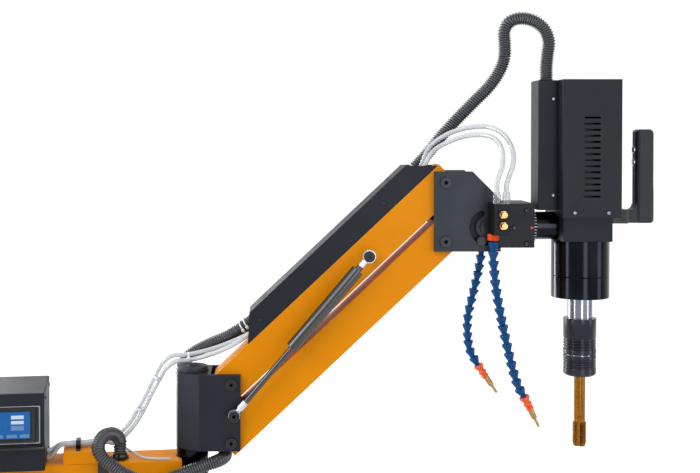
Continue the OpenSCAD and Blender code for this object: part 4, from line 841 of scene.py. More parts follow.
def turned_mesh(name: str, profile: Sequence[tuple[float, float]], sides: int = 32) -> bpy.types.Mesh:
    """A solid turned about Z from pairs of radius and height.

    Args:
        name: The mesh's name.
        profile: Radius and height from the foot to the top; a radius of 0 closes an end.
        sides: How many facets go round.

    Returns:
        The mesh.
    """
    verts: list[Point] = []
    rings: list[list[int]] = []
    for radius, height in profile:
        count = 1 if radius == 0 else sides
        rings.append(list(range(len(verts), len(verts) + count)))
        for k in range(count):
            turn = math.tau * k / sides
            verts.append((radius * math.cos(turn), radius * math.sin(turn), height))
    faces: list[list[int]] = []
    for low, high in zip(rings, rings[1:]):
        for k in range(sides):
            n = (k + 1) % sides
            if len(low) == 1 and len(high) > 1:
                faces.append([low[0], high[n], high[k]])
            elif len(high) == 1 and len(low) > 1:
                faces.append([low[k], low[n], high[0]])
            elif len(low) > 1:
                faces.append([low[k], low[n], high[n], high[k]])
    return mesh_of(name, verts, faces)


def box_mesh(name: str, size: Point, rounding: float = 0.0, low_at: float = 0.0) -> bpy.types.Mesh:
    """A block on the XY plane with rounded edges.

    Args:
        name: The mesh's name.
        size: Its three sizes.
        rounding: The width of its edges' rounding.
        low_at: The height of its underside.

    Returns:
        The mesh.
    """
    work = bmesh.new()
    bmesh.ops.create_cube(work, size=1.0)
    bmesh.ops.scale(work, vec=size, verts=work.verts)
    bmesh.ops.translate(work, vec=(0, 0, low_at + size[2] / 2), verts=work.verts)
    if rounding:
        round_edges(work, rounding)
    return mesh_from(name, work)


def screw_mesh(name: str, head_r: float, head_h: float, socket_r: float, domed: bool) -> bpy.types.Mesh:
    """A screw head with a hexagon socket, standing on the XY plane.

    Args:
        name: The mesh's name.
        head_r: The head's radius.
        head_h: The head's height.
        socket_r: The socket's corner radius.
        domed: Whether the head is a low dome or a straight cylinder.

    Returns:
        The mesh.
    """
    sides = 24
    if domed:
        profile = [(0.0, 0.0), (head_r, 0.0), (head_r, head_h * 0.25), (head_r * 0.9, head_h * 0.62),
                   (head_r * 0.7, head_h * 0.9), (head_r * 0.55, head_h)]
    else:
        profile = [(0.0, 0.0), (head_r, 0.0), (head_r, head_h * 0.85), (head_r * 0.92, head_h)]
    mesh = turned_mesh(name, profile, sides)
    work = bmesh.new()
    work.from_mesh(mesh)
    work.verts.ensure_lookup_table()
    rim = list(work.verts)[-sides:]
    turns = [math.tau * c / 6 for c in range(6)]
    corners = [work.verts.new((socket_r * math.cos(t), socket_r * math.sin(t), head_h)) for t in turns]
    step = sides // 6
    for c, first in enumerate(corners):
        second = corners[(c + 1) % 6]
        for k in range(step):
            a, b = rim[c * step + k], rim[(c * step + k + 1) % sides]
            if k == step // 2:
                work.faces.new([a, second, first])
            work.faces.new([a, b, first if k < step // 2 else second])
    low = [work.verts.new((v.co.x, v.co.y, head_h * 0.38)) for v in corners]
    for c in range(6):
        work.faces.new([corners[c], corners[(c + 1) % 6], low[(c + 1) % 6], low[c]])
    work.faces.new(low)
    bmesh.ops.recalc_face_normals(work, faces=work.faces)
    work.to_mesh(mesh)
    work.free()
    return mesh


@dataclass(frozen=True)
class Spot:
    """A place on a surface, the way out of it and a direction along it."""

    at: Point
    facing: Point
    along: Point = (1.0, 0.0, 0.0)


def on_side(x: float, y: float, z: float, way: float) -> Spot:
    """A spot in millimetres on a face square to Y, which looks back where way is 1 and to the front at -1."""
    return Spot((x * MM, y * MM, z * MM), (0.0, way, 0.0))


def set_out(name: str, shape: bpy.types.Mesh, spots: Sequence[Spot], finish: AnyFinish, body: str
            ) -> bpy.types.Object:
    """Sets copies of a shape out on spots as one piece.

    Args:
        name: The piece's name.
        shape: The shape, standing on the XY plane.
        spots: Where the copies go.
        finish: Their finish.
        body: The CAD body that carries them.

    Returns:
        The piece.
    """
    source = new_object(name + "_shape", shape)
    seed = mesh_of(name, [s.at for s in spots], [])
    for key in ("facing", "along"):
        seed.attributes.new(key, "FLOAT_VECTOR", "POINT").data.foreach_set(
            "vector", [c for s in spots for c in getattr(s, key)])
    grown = placed_tree().grow(name, seed, {"Shape": source, "Finish": material_of(finish)})
    mesh = grown.data
    bpy.data.objects.remove(grown)
    bpy.data.objects.remove(source)
    return shown(name, mesh, finish, body, 30.0)


# Cords


def catmull(points: Sequence[Point], steps: int = 10) -> list[Vector]:
    """The smooth line through a route's points, sampled as the solids are.

    Args:
        points: The route.
        steps: Samples between two points.

    Returns:
        The line's points.
    """
    p = [Vector(v) for v in points]
    last = len(p) - 1
    line: list[Vector] = []
    for i in range(last):
        a, b, c, d = p[max(i - 1, 0)], p[i], p[i + 1], p[min(i + 2, last)]
        for k in range(steps):
            t = k / steps
            line.append((2 * b + (c - a) * t + (2 * a - 5 * b + 4 * c - d) * t ** 2
                         + (3 * b - a - 3 * c + d) * t ** 3) / 2)
    line.append(p[last])
    return line


def in_metres(route: Sequence[Point], shift: Point = (0.0, 0.0, 0.0)) -> list[Point]:
    """Shifts a route in millimetres and turns it into metres."""
    return [tuple((c + s) * MM for c, s in zip(point, shift)) for point in route]


def runs_of(line: Sequence[Vector]) -> np.ndarray:
    """How far along a line each of its points lies."""
    return np.concatenate([[0.0], np.cumsum([(b - a).length for a, b in zip(line, line[1:])])])


def nearest(line: Sequence[Vector], place: Sequence[float]) -> int:
    """The number of the point of a line that lies nearest to a place."""
    return min(range(len(line)), key=lambda k: (line[k] - Vector(place)).length)


def cut_line(line: Sequence[Vector], start: float, end: float, step: float = 0.004) -> list[Vector]:
    """The stretch of a line between two runs, at even steps.

    Args:
        line: The line's points.
        start: Where the stretch starts, along the line.
        end: Where it ends.
        step: The distance between its points.

    Returns:
        The stretch's points.
    """
    at = np.linspace(start, end, max(3, int(round((end - start) / step)) + 1))
    columns = [np.interp(at, runs_of(line), [v[axis] for v in line]) for axis in range(3)]
    return [Vector(v) for v in zip(*columns)]


@dataclass
class Stretch:
    """A stretch of a line between two bodies that one joint joins."""

    name: str
    first: str
    second: str
    until: Point | None = None
    bend_from: Point | None = None
    bend_to: Point | None = None


@dataclass
class Line:
    """A conduit or tube in one or more stretches, one for each pair of bodies that it runs between."""

    node: str
    route: list[Point]
    radius: float
    stretches: list[Stretch]
    finish: AnyFinish
    valley: float = 0.0
    pitch: float = 0.016
    sides: int = 20
    tail: Point | None = None
    stiffness: str = "medium"

    def build(self) -> list[bpy.types.Object]:
        """Makes the stretches and hangs each that lies on a single body from that body.

        Returns:
            The pieces in order.
        """
        line = catmull(self.route) + ([Vector(self.tail)] if self.tail else [])
        runs = runs_of(line)
        made: list[bpy.types.Object] = []
        start = 0.0
        for stretch in self.stretches:
            end = float(runs[nearest(line, stretch.until) if stretch.until else -1])
            path = cut_line(line, start, end)
            seed = mesh_of(stretch.name, path, [], [(i, i + 1) for i in range(len(path) - 1)])
            rings = 4 * max(2, round((end - start) / self.pitch)) + 1
            piece = tube_tree().grow(stretch.name, seed, {
                "Rings": rings, "Valley radius": self.valley or self.radius, "Rib radius": self.radius,
                "Sides": self.sides, "Closed": True, "Finish": material_of(self.finish)})
            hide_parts(self.node)
            if stretch.first == stretch.second:
                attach(piece, stretch.first)
            else:
                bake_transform(piece)
            self.radius * 2
            log.info("%s is %.3f m long", stretch.name, end - start)
            made.append(piece)
            start = end
        return made


PIVOT = (900.355, 51.518, 857.509)
LOWER_ROUTE = in_metres([
    (274.5, 21.5, 470.2), (274.5, 21.5, 481), (274.5, 21.5, 492), (266, 10, 506), (253, -5, 508),
    (245, -20, 500), (246, -33, 488), (256, -39, 476), (271, -41, 465), (290, -40, 452), (318, -34, 439),
    (352, -20, 434), (386, -4, 443), (418, 2, 453), (442, 12, 459), (453, 34, 460), (454, 62, 460),
    (449, 88, 460), (441, 107, 466), (430, 118, 482), (414, 121, 505), (395, 120, 532), (380, 117, 560),
    (373, 113, 590), (382, 105, 615), (401, 97, 631), (428, 87, 646), (455, 77, 659), (480, 70, 675),
    (503, 65, 693), (521, 64, 710)])
UPPER_ROUTE = in_metres([
    (753.2, 64, 928.8), (775, 63.5, 949), (794, 61, 969), (812, 59, 990), (829, 57, 1012), (856, 54, 1042),
    (885, 51, 1072), (911, 48, 1099), (928, 46, 1125), (936, 44, 1149), (936, 42, 1172), (935, 40, 1193),
    (944, 38, 1209), (963, 36, 1215), (985, 35, 1210), (1002, 34, 1196), (1010, 34, 1176), (1008, 34, 1154),
    (1006, 34, 1132), (1006, 34, 1120), (1006, 34, 1108.4)])
TUBE_A_ROUTE = in_metres([
    (152, 14.8, 477), (158, 15.6, 477.5), (166, 17, 482), (174, 19.6, 487), (188, 24, 487),
    (202.8, 27.6, 487), (218, 31, 487.5), (232, 34, 489), (265, 41.5, 496), (288, 44, 516), (305, 45, 544),
    (319, 46, 571), (332, 47, 597), (344, 48, 618), (362, 49, 632), (391, 50, 634), (427, 46, 643),
    (462, 42, 656), (494, 40, 671), (512, 40, 684)])
TUBE_B_ROUTE = in_metres([
    (153.2, 5.6, 467), (159, 6.4, 467.5), (165, 7.6, 475), (171, 9.6, 484), (180, 12.6, 488), (192, 16, 487),
    (204, 18.8, 487), (218, 21.5, 487.3), (232, 25, 488), (250, 32, 487), (268, 39, 485), (296, 41, 512),
    (313, 42, 540), (327, 43, 568), (340, 44, 592), (351, 45, 610), (368, 46, 622.5), (391, 46, 625),
    (428, 37, 636), (464, 31, 652), (494, 30, 671), (512, 30, 684)])
THIN_ROUTE = in_metres([
    (150.6, 26.2, 470), (157, 27.1, 470.5), (164, 28.4, 475), (171, 30, 482), (180, 32, 485.5),
    (190, 33.5, 487), (201.9, 34.5, 487), (214, 37, 487), (240, 44, 487), (262, 50, 484), (286, 38, 472),
    (314, 18, 464), (340, 12, 463), (362, 13, 463)])
OUTER_ARC = in_metres([
    (761.2, 40, 918.8), (777, 40, 934), (792, 39, 962), (808, 36, 996), (847, 26, 1021), (892, 6, 1029),
    (919, -14, 1019), (933, -27, 996), (935, -36, 970), (926, -39.8, 943), (923, -39.8, 932),
    (923, -39.8, 920.7)])
INNER_ARC = in_metres([
    (761.2, 30, 918.8), (777, 30, 934), (794, 29, 958), (812, 26, 988), (850, 14, 1009), (884, -4, 1015),
    (906, -20, 1009), (917, -31, 990), (916, -38, 962), (909, -39.8, 943), (907, -39.8, 932),
    (907, -39.8, 920.7)])
FRONT_HOSE = in_metres([
    (6.5, -64.5, -23.5), (6.5, -64.5, -37.5), (6.5, -64.5, -54.5), (11.5, -64.5, -104.5),
    (23.5, -64.5, -168.5), (38.5, -63.5, -232.5), (48.5, -62.5, -264.5), (59.5, -59.5, -284.5),
    (71.5, -55.5, -307.5)], PIVOT)
REAR_HOSE = in_metres([
    (11.5, 65.5, -26.5), (10.5, 65.5, -39.5), (9.5, 65.5, -57.5), (4.5, 65.5, -88.5), (-2.5, 65.5, -118.5),
    (-12.5, 65.5, -161.5), (-14.5, 65.5, -189.5), (-11.5, 65.5, -222.5), (-4.5, 65.5, -239.5),
    (4.5, 65.5, -255.5), (19.5, 65.5, -277.5)], PIVOT)


@dataclass
class Lines:
    """The corrugated conduits and the clear coolant tubes."""

    conduit_r: float = 0.0113
    valley_r: float = 0.0091
    rib_pitch: float = 0.0041
    clear_r: float = 0.004
    thin_r: float = 0.0023
    band_share: float = 0.54
    tie_band: Point = (0.0085, 0.0094, 0.0034)
    tie_lock: Point = (0.0062, 0.0052, 0.0044)
    conduit_band: tuple[float, float] = (0.0011, 0.0026)
    conduit_lock: Point = (0.0054, 0.0048, 0.004)
    turn_from: Point = (0.2745, 0.0215, 0.47)
    turn_to: Point = (0.40, 0.10, 0.56)
    arm_ties: tuple[Point, ...] = ((0.270, 0.042, 0.500), (0.303, 0.045, 0.541))
    knuckle_ties: tuple[Point, ...] = ((0.332, 0.047, 0.597), (0.391, 0.050, 0.634))
    lower_ties: tuple[Point, ...] = ((0.486, 0.069, 0.679), (0.491, 0.068, 0.683))
    upper_ties: tuple[Point, ...] = ((0.770, 0.0636, 0.944), (0.783, 0.0623, 0.957))

    def build(self) -> None:
        """Makes every conduit and tube."""
        self.conduits()
        self.tubes()
        self.arcs()
        self.ties()
        self.conduit_ties()

    def conduits(self) -> None:
        """The lower and upper conduit."""
        for node, route, tail, stretches in (
            ("lower_conduit", LOWER_ROUTE, (0.75302, 0.06402, 0.92863), [
                Stretch("lower_conduit_at_arm", "first_arm", "knuckle", (0.373, 0.113, 0.590), self.turn_from,
                        self.turn_to),
                Stretch("lower_conduit_at_link", "knuckle", "upper_link", None, (0.373, 0.113, 0.60),
                        (0.51, 0.066, 0.70))]),
            ("upper_conduit", UPPER_ROUTE, None, [
                Stretch("upper_conduit_at_link", "upper_link", "head_bracket", (0.856, 0.054, 1.042)),
                Stretch("upper_conduit_at_bracket", "head_bracket", "tilt_unit", (0.936, 0.044, 1.149)),
                Stretch("upper_conduit_at_head", "tilt_unit", "head")]),
        ):
            Line(node, route, self.conduit_r, stretches, RIBBED, self.valley_r, self.rib_pitch, 24, tail,
                 "stiff").build()

    def tubes(self) -> None:
        """The clear tubes from the control box to the cover, and the thin one."""
        for letter, route, tail, cap in (
            ("a", TUBE_A_ROUTE, (0.76093, 0.04002, 0.91863), (0.391, 0.050, 0.634)),
            ("b", TUBE_B_ROUTE, (0.76093, 0.03002, 0.91863), (0.391, 0.046, 0.625)),
        ):
            Line("lower_tubes", route, self.clear_r, [
                Stretch(f"clear_tube_{letter}_at_arm", "first_arm", "knuckle", cap, (0.265, 0.04, 0.49),
                        (0.362, 0.049, 0.632)),
                Stretch(f"clear_tube_{letter}_at_link", "knuckle", "upper_link", None, cap,
                        (0.50, 0.038, 0.675))], CLEAR_TUBE, tail=tail).build()
        Line("lower_tubes", THIN_ROUTE, self.thin_r, [Stretch("thin_tube", "first_arm", "first_arm")],
             CLEAR_TUBE, sides=14).build()

    @staticmethod
    def bearings(line: Sequence[Vector], k: int) -> tuple[Vector, Vector]:
        """Which way a line runs at a point, and the way square to it that looks to the front.

        Args:
            line: The line's points.
            k: The number of the point.

        Returns:
            The two directions.
        """
        ahead = (line[k + 1] - line[k - 1]).normalized()
        out = ahead.cross(Vector((1, 0, 0))).normalized()
        return ahead, out if out.y < 0 else -out

    def ties(self) -> None:
        """The white ties round the two clear tubes."""
        band = washer("tie_band", *self.tie_band)
        for vert in band.vertices:
            vert.co.y *= self.band_share
        lock = box_mesh("tie_lock", self.tie_lock, 0.0006, -0.0005)
        first, second = catmull(TUBE_A_ROUTE), catmull(TUBE_B_ROUTE)
        for name, body, places in (("arm", "first_arm", self.arm_ties),
                                   ("knuckle", "knuckle", self.knuckle_ties)):
            bands, locks = [], []
            for place in places:
                k = nearest(first, place)
                other = second[nearest(second, first[k])]
                middle = (first[k] + other) / 2
                ahead, out = self.bearings(first, k)
                start = middle - ahead * self.tie_band[2] / 2
                bands.append(Spot(tuple(start), tuple(ahead), tuple(other - first[k])))
                locks.append(Spot(tuple(middle + out * 0.0046), tuple(out), tuple(ahead)))
            set_out(f"tie_bands_{name}", band, bands, TIE_WHITE, body)
            set_out(f"tie_locks_{name}", lock.copy(), locks, TIE_WHITE, body)

    def conduit_ties(self) -> None:
        """The white ties round the conduits where they meet the cover."""
        bands, locks = [], []
        more, thick = self.conduit_band
        for route, places in ((LOWER_ROUTE, self.lower_ties), (UPPER_ROUTE, self.upper_ties)):
            line = catmull(route)
            for k in (nearest(line, place) for place in places):
                ahead, out = self.bearings(line, k)
                bands.append(Spot(tuple(line[k] - ahead * 0.0012), tuple(ahead)))
                lock_at = line[k] + out * (self.conduit_r + 0.0006)
                locks.append(Spot(tuple(lock_at), tuple(out), tuple(ahead)))
        band = washer("conduit_tie", self.conduit_r, self.conduit_r + more, thick)
        lock = box_mesh("conduit_tie_lock", self.conduit_lock, 0.0006, -0.0005)
        set_out("conduit_ties", band, bands, TIE_WHITE, "upper_link")
        set_out("conduit_tie_locks", lock, locks, TIE_WHITE, "upper_link")

    def arcs(self) -> None:
        """The two clear arcs from the cover to the valve block."""
        for name, route in (("outer_arc", OUTER_ARC), ("inner_arc", INNER_ARC)):
            Line("upper_tubes", route, self.clear_r, [
                Stretch(f"{name}_at_link", "upper_link", "head_bracket", route[3]),
                Stretch(f"{name}_at_block", "head_bracket", "tilt_unit")], CLEAR_TUBE).build()


@dataclass
class CoolantHose:
    """A hose of snapped cups with an orange collar and end, and a brass nozzle."""

    name: str
    body: str
    route: list[Point]
    nozzle: str
    hose_r: float = 0.0088
    neck_r: float = 0.0049
    pitch: float = 0.0160
    end_len: float = 0.026

    def cup(self) -> bpy.types.Mesh:
        """One cup: a wide rim at its top, a waist and the ball that snaps into the next.

        Returns:
            The cup with its rim towards -Z.
        """
        r, n, p = self.hose_r, self.neck_r, self.pitch
        profile = [(0.0, p * 0.12), (r * 0.78, p * 0.12), (r * 0.86, 0.0), (r * 0.97, 0.0), (r, p * 0.06),
                   (r, p * 0.16), (r * 0.9, p * 0.28), (r * 0.8, p * 0.4), (r * 0.7, p * 0.56), (n, p * 0.72),
                   (n, p * 0.98), (r * 0.72, p * 1.1), (0.0, p * 1.12)]
        return turned_mesh(self.name + "_cup", profile, 20)

    def end(self) -> bpy.types.Mesh:
        """The orange end: a cup, a waist and a collar.

        Returns:
            The end with its rim towards -Z.
        """
        r, n, e = self.hose_r, self.neck_r, self.end_len
        profile = [(0.0, 0.0), (r * 0.95, 0.0), (r, e * 0.03), (r, e * 0.12), (r * 0.86, e * 0.24),
                   (r * 0.66, e * 0.34), (r * 0.62, e * 0.42), (r * 0.8, e * 0.5), (r * 0.84, e * 0.56),
                   (r * 0.78, e * 0.66), (n, e * 0.74), (n, e * 0.78), (r * 0.74, e * 0.81),
                   (r * 0.74, e * 0.95), (r * 0.62, e), (0.0, e)]
        return turned_mesh(self.name + "_end", profile, 24)

    def build(self) -> None:
        line = catmull(self.route)
        total = float(runs_of(line)[-1])
        cups = round((total - self.end_len) / self.pitch)
        step = (total - self.end_len) / cups
        path = cut_line(line, 0.0, total, 0.002)
        spots = self.spots(path, total, [step * k for k in range(cups)])
        hose = set_out(self.name + "_cups", self.cup(), spots, HOSE_BLUE, self.body)
        end = set_out(self.name + "_tip", self.end(), self.spots(path, total, [total - self.end_len]),
                      HOSE_ORANGE, self.body)
        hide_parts(self.body)
        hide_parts(self.body)
        total - self.end_len
        self.hose_r * 2
        cut_line(line, 0.0, total - self.end_len)
        paint(self.nozzle, NOZZLE_BRASS)

    def spots(self, path: list[Vector], total: float, runs: Sequence[float]) -> list[Spot]:
        """Where along the path the cups stand.

        Args:
            path: The hose's middle.
            total: Its length.
            runs: Distances along it.

        Returns:
            A spot for each.
        """
        found: list[Spot] = []
        for run in runs:
            k = min(len(path) - 2, max(0, round(run / total * (len(path) - 1))))
            ahead = (path[min(k + 3, len(path) - 1)] - path[max(k - 1, 0)]).normalized()
            side = ahead.cross(Vector((0, 1, 0))).normalized()
            found.append(Spot(tuple(path[k]), tuple(ahead), tuple(side)))
        return found


# Sub-assemblies


ARM_YAW = math.radians(7.4)
LINK_RISE = math.radians(43.3)
LOWER_PIVOT_X = 465.47
UPPER_PIVOT_Z = 590.6
PLATE_FACES = ((1.52, -1.0), (101.52, 1.0))
BOLT_HEAD_R = 0.0094
BOLT_SOCKET_R = 0.0036
BOLT_SOCKET_DEPTH = 0.0024


def on_arm(along: float, left: float, up: float) -> Point:
    """A place on the first arm, as a place in the frame.

    Args:
        along: Millimetres along the arm from the column's axis.
        left: Millimetres to the arm's left, which is its back.
        up: Millimetres over the floor.

    Returns:
        The place in metres.
    """
    c, s = math.cos(ARM_YAW), math.sin(ARM_YAW)
    return ((along * c - left * s) * MM, (along * s + left * c) * MM, up * MM)


def on_link(along: float, across: float, out: float) -> Point:
    """A place on the upper link, as a place in the frame.

    Args:
        along: Millimetres along the link from its lower pivot.
        across: Millimetres from its middle to the back.
        out: Millimetres out of its upper side.

    Returns:
        The place in metres.
    """
    c, s = math.cos(LINK_RISE), math.sin(LINK_RISE)
    return ((LOWER_PIVOT_X + along * c - out * s) * MM, (51.52 + across) * MM,
            (UPPER_PIVOT_Z + along * s + out * c) * MM)


LINK_ALONG = (math.cos(LINK_RISE), 0.0, math.sin(LINK_RISE))
ARM_ALONG = (math.cos(ARM_YAW), math.sin(ARM_YAW), 0.0)


def washer(name: str, inner: float, outer: float, thick: float) -> bpy.types.Mesh:
    """A flat washer with eased edges, standing on the XY plane.

    Args:
        name: The mesh's name.
        inner: The radius of its hole in metres.
        outer: Its outer radius.
        thick: Its thickness.

    Returns:
        The mesh.
    """
    ease = thick * 0.3
    profile = [(inner, 0.0), (outer, 0.0), (outer, thick - ease), (outer - ease, thick),
               (inner + ease, thick), (inner, thick - ease), (inner, 0.0)]
    return turned_mesh(name, profile, 32)


def bolt_rims(name: str, body: str, places: Sequence[tuple[Point, float]],
              head_r: float = BOLT_HEAD_R, socket_r: float = BOLT_SOCKET_R) -> None:
    """Painted highlights on the edges of bolt heads and on the lips of their hexagon sockets, and painted shade
    on the sockets' floors.

    Args:
        name: The start of the pieces' names.
        body: The CAD body that carries the bolts.
        places: The middle of each head's face in millimetres and its way out along Y.
        head_r: The heads' radius in metres.
        socket_r: The sockets' corner radius, or 0 for heads without one.
    """
    faces = [on_side(*at, way) for at, way in places]
    # Painted highlight rings on the edges of the heads.
    set_out(name + "_rims", washer(name + "_rim", head_r - 0.0013, head_r - 0.0004, 0.00025), faces,
            PAINTED_HIGHLIGHT, body)
    if socket_r:
        # Painted highlight rings on the lips of the sockets.
        set_out(name + "_lips", washer(name + "_lip", socket_r, socket_r + 0.0008, 0.0002), faces,
                PAINTED_HIGHLIGHT, body)
        # Painted shade on the floor of each socket.
        floors = [Spot((s.at[0], s.at[1] - s.facing[1] * BOLT_SOCKET_DEPTH, s.at[2]), s.facing)
                  for s in faces]
        inner, thick = socket_r * 0.98, 0.0004
        floor = turned_mesh(name + "_floor", [(0.0, 0.0), (inner, 0.0), (inner, thick), (0.0, thick)], 6)
        set_out(name + "_floors", floor, floors, PAINTED_SHADE, body)


Coats = tuple[tuple, ...]


@dataclass
class Assembly:
    """CAD nodes with their finishes, and the small parts that dress them.

    A coat is a node, its finish and, where its edges are rounded, what softened takes after those.
    """

    coats: Coats = ()

    def build(self) -> None:
        """Finishes the nodes, rounding each that has a width, and dresses them."""
        for node, finish, *rounding in self.coats:
            if rounding:
                softened(node, finish, *rounding)
            else:
                paint(node, finish)
        self.dress()

    def dress(self) -> None:
        """Adds nothing where an assembly has no small parts."""


@dataclass
class Base(Assembly):
    """The base plate, the column and its bearing shaft."""

    coats: Coats = (("base_plate", BLACK_PLATE, 0.0015), ("column", YELLOW, 0.0015), ("column_shaft", STEEL))


@dataclass
class FirstArm(Assembly):
    """The lower arm, its saddle, clips and gland."""

    coats: Coats = (("first_arm", YELLOW, 0.0014), ("saddle_block", YELLOW, 0.0014), ("arm_bearings", STEEL),
                    ("knuckle_post", BLACK_SHAFT), ("cable_clips", BLACK_NYLON, 0.0004),
                    ("conduit_gland", BLACK_NYLON, 0.0006))


@dataclass
class ControlBox(Assembly):
    """The control box with its screen and power panel, in the first arm's millimetres."""

    coats: Coats = (("control_box", BLACK, 0.0022), ("screen_frame", DARK_PANEL, 0.0012),
                    ("power_inlet", BLACK_NYLON, 0.0007), ("power_rocker", DARK_PANEL, 0.0009))
    screen_at: Point = (82.0, -73.0, 539.0)
    screen_size: tuple[float, float] = (102.0, 49.0)
    face: float = -75.0
    outline: tuple[float, float, float, float] = (19.0, 145.0, 508.0, 570.0)
    outline_width: float = 1.7
    outline_out: float = 0.9
    margin_width: float = 5.3
    margin_out: float = 0.5
    ledge: tuple[tuple[float, float], tuple[float, float]] = ((13.5, 151.5), (497.5, 502.5))
    ledge_in: float = 0.6
    ledge_out: float = 2.6
    easings: Point = (0.3, 0.2, 1.2)
    ends: tuple[float, float] = (12.0, 152.0)
    corners: tuple[tuple[float, float], ...] = ((-52.0, 578.0), (52.0, 578.0))
    foot_screws: tuple[tuple[float, float], ...] = ((0.0, 470.0), (44.0, 470.0))
    screw: Point = (0.0032, 0.0018, 0.0014)

    def dress(self) -> None:
        """The lit glass, the trim on the front and the lid's screws."""
        width, height = (side * MM for side in self.screen_size)
        middle = on_arm(*self.screen_at)
        paint("touch_screen", ScreenGlass("touch_screen_glass", middle, ARM_YAW, width, height))
        low, high, foot, top = self.outline
        line, face = self.outline_width, self.face
        bars = (((low, high), (foot, foot + line)), ((low, high), (top - line, top)),
                ((low, low + line), (foot, top)), ((high - line, high), (foot, top)))
        outline = [(a, z, face, face - self.outline_out) for a, z in bars]
        margin = (high - line - self.margin_width, high - line), (foot + line, top - line)
        ledge = (*self.ledge, face + self.ledge_in, face - self.ledge_out)
        self.plates("screen_outline", outline, self.easings[0], OUTLINE_SILVER)
        self.plates("screen_margin", [(*margin, face, face - self.margin_out)], self.easings[1], DARK_PANEL)
        self.plates("box_ledge", [ledge], self.easings[2], DARK_PANEL)
        outwards = (tuple(-c for c in ARM_ALONG), ARM_ALONG)
        spots = [Spot(on_arm(end, side, up), out, UP)
                 for end, out, foot_screw in zip(self.ends, outwards, self.foot_screws)
                 for side, up in (*self.corners, foot_screw)]
        set_out("lid_screws", screw_mesh("lid_screw", *self.screw, True), spots, BLACK_OXIDE, "first_arm")

    def plates(self, name: str, blocks: Sequence[tuple], rounding: float, finish: AnyFinish) -> None:
        """Thin blocks on the box's front.

        Args:
            name: The piece's name.
            blocks: Each block's two ends along, up, and its back and front.
            rounding: The width of its edges' rounding.
            finish: Its finish.
        """
        work = bmesh.new()
        for along, up, back, front in blocks:
            for v in bmesh.ops.create_cube(work, size=1.0)["verts"]:
                v.co = (along[v.co.x > 0], back if v.co.y > 0 else front, up[v.co.z > 0])
        round_edges(work, rounding)
        for v in work.verts:
            v.co = on_arm(*v.co)
        shown(name, mesh_from(name, work), finish, "first_arm", 30.0)


@dataclass
class Knuckle(Assembly):
    """The swivel bracket between the arms, with its cap, bearings and pins."""

    coats: Coats = (("knuckle_bracket", BLACK_PLATE, 0.0012), ("post_cap", BRACKET_PAINT, 0.0008),
                    ("knuckle_bearings", STEEL), ("knuckle_pins", BLACK_OXIDE, 0.0009))
    pins_z: tuple[float, float] = (UPPER_PIVOT_Z, 490.6)
    spring_pin: Point = (470.77, -18.28, 541.3)
    grub: Point = (0.0034, 0.0012, 0.002)
    grub_spot: Spot = Spot((0.3815, 0.0279, 0.437), (-0.54, -0.84, 0.0))

    def dress(self) -> None:
        """The painted highlights and shade on the bolt heads, and the hub's grub screw."""
        places = [((LOWER_PIVOT_X, y, z), way) for y, way in PLATE_FACES for z in self.pins_z]
        bolt_rims("knuckle_bolt", "knuckle", places + [(self.spring_pin, -1.0)])
        set_out("hub_grubs", screw_mesh("hub_grub", *self.grub, False), [self.grub_spot], BLACK_OXIDE,
                "first_arm")


@dataclass
class Links(Assembly):
    """The two links, the cable cover and the gas spring between them."""

    coats: Coats = (("upper_beam", YELLOW, 0.0014), ("lower_beam", YELLOW, 0.0014),
                    ("cable_cover", BLACK, 0.0011), ("upper_bushes", BRONZE), ("lower_bushes", BRONZE),
                    ("spring_stud", BLACK_OXIDE, 0.0006),
                    ("gas_rod", SpringEnd("gas_rod_finish", 0.030, 9.0)),
                    ("gas_tube", SpringEnd("gas_tube_finish", -1.0, 0.3302)))
    screws_along: tuple[float, float] = (110.0, 400.0)
    cover_side: float = 35.0
    screws_out: float = 45.0
    screw: Point = (0.0036, 0.002, 0.0016)

    def dress(self) -> None:
        """Screws along the cover's two sides, which hold it to the upper link."""
        spots = [Spot(on_link(along, side * self.cover_side, self.screws_out), (0.0, side, 0.0), LINK_ALONG)
                 for along in self.screws_along for side in (-1.0, 1.0)]
        set_out("cover_screws", screw_mesh("cover_screw", *self.screw, True), spots, BLACK_OXIDE,
                "upper_link")


@dataclass
class HeadBracket(Assembly):
    """The two plates at the links' upper end and their pins."""

    coats: Coats = (("bracket_plates", BRACKET_PAINT, 0.001), ("bracket_pins", BLACK_OXIDE, 0.0009))
    pins_x: float = 829.36
    pins_z: tuple[float, float] = (933.51, 833.51)

    def dress(self) -> None:
        """The painted highlights and shade on the bolt heads."""
        bolt_rims("bracket_bolt", "head_bracket",
                  [((self.pins_x, y, z), way) for y, way in PLATE_FACES for z in self.pins_z])


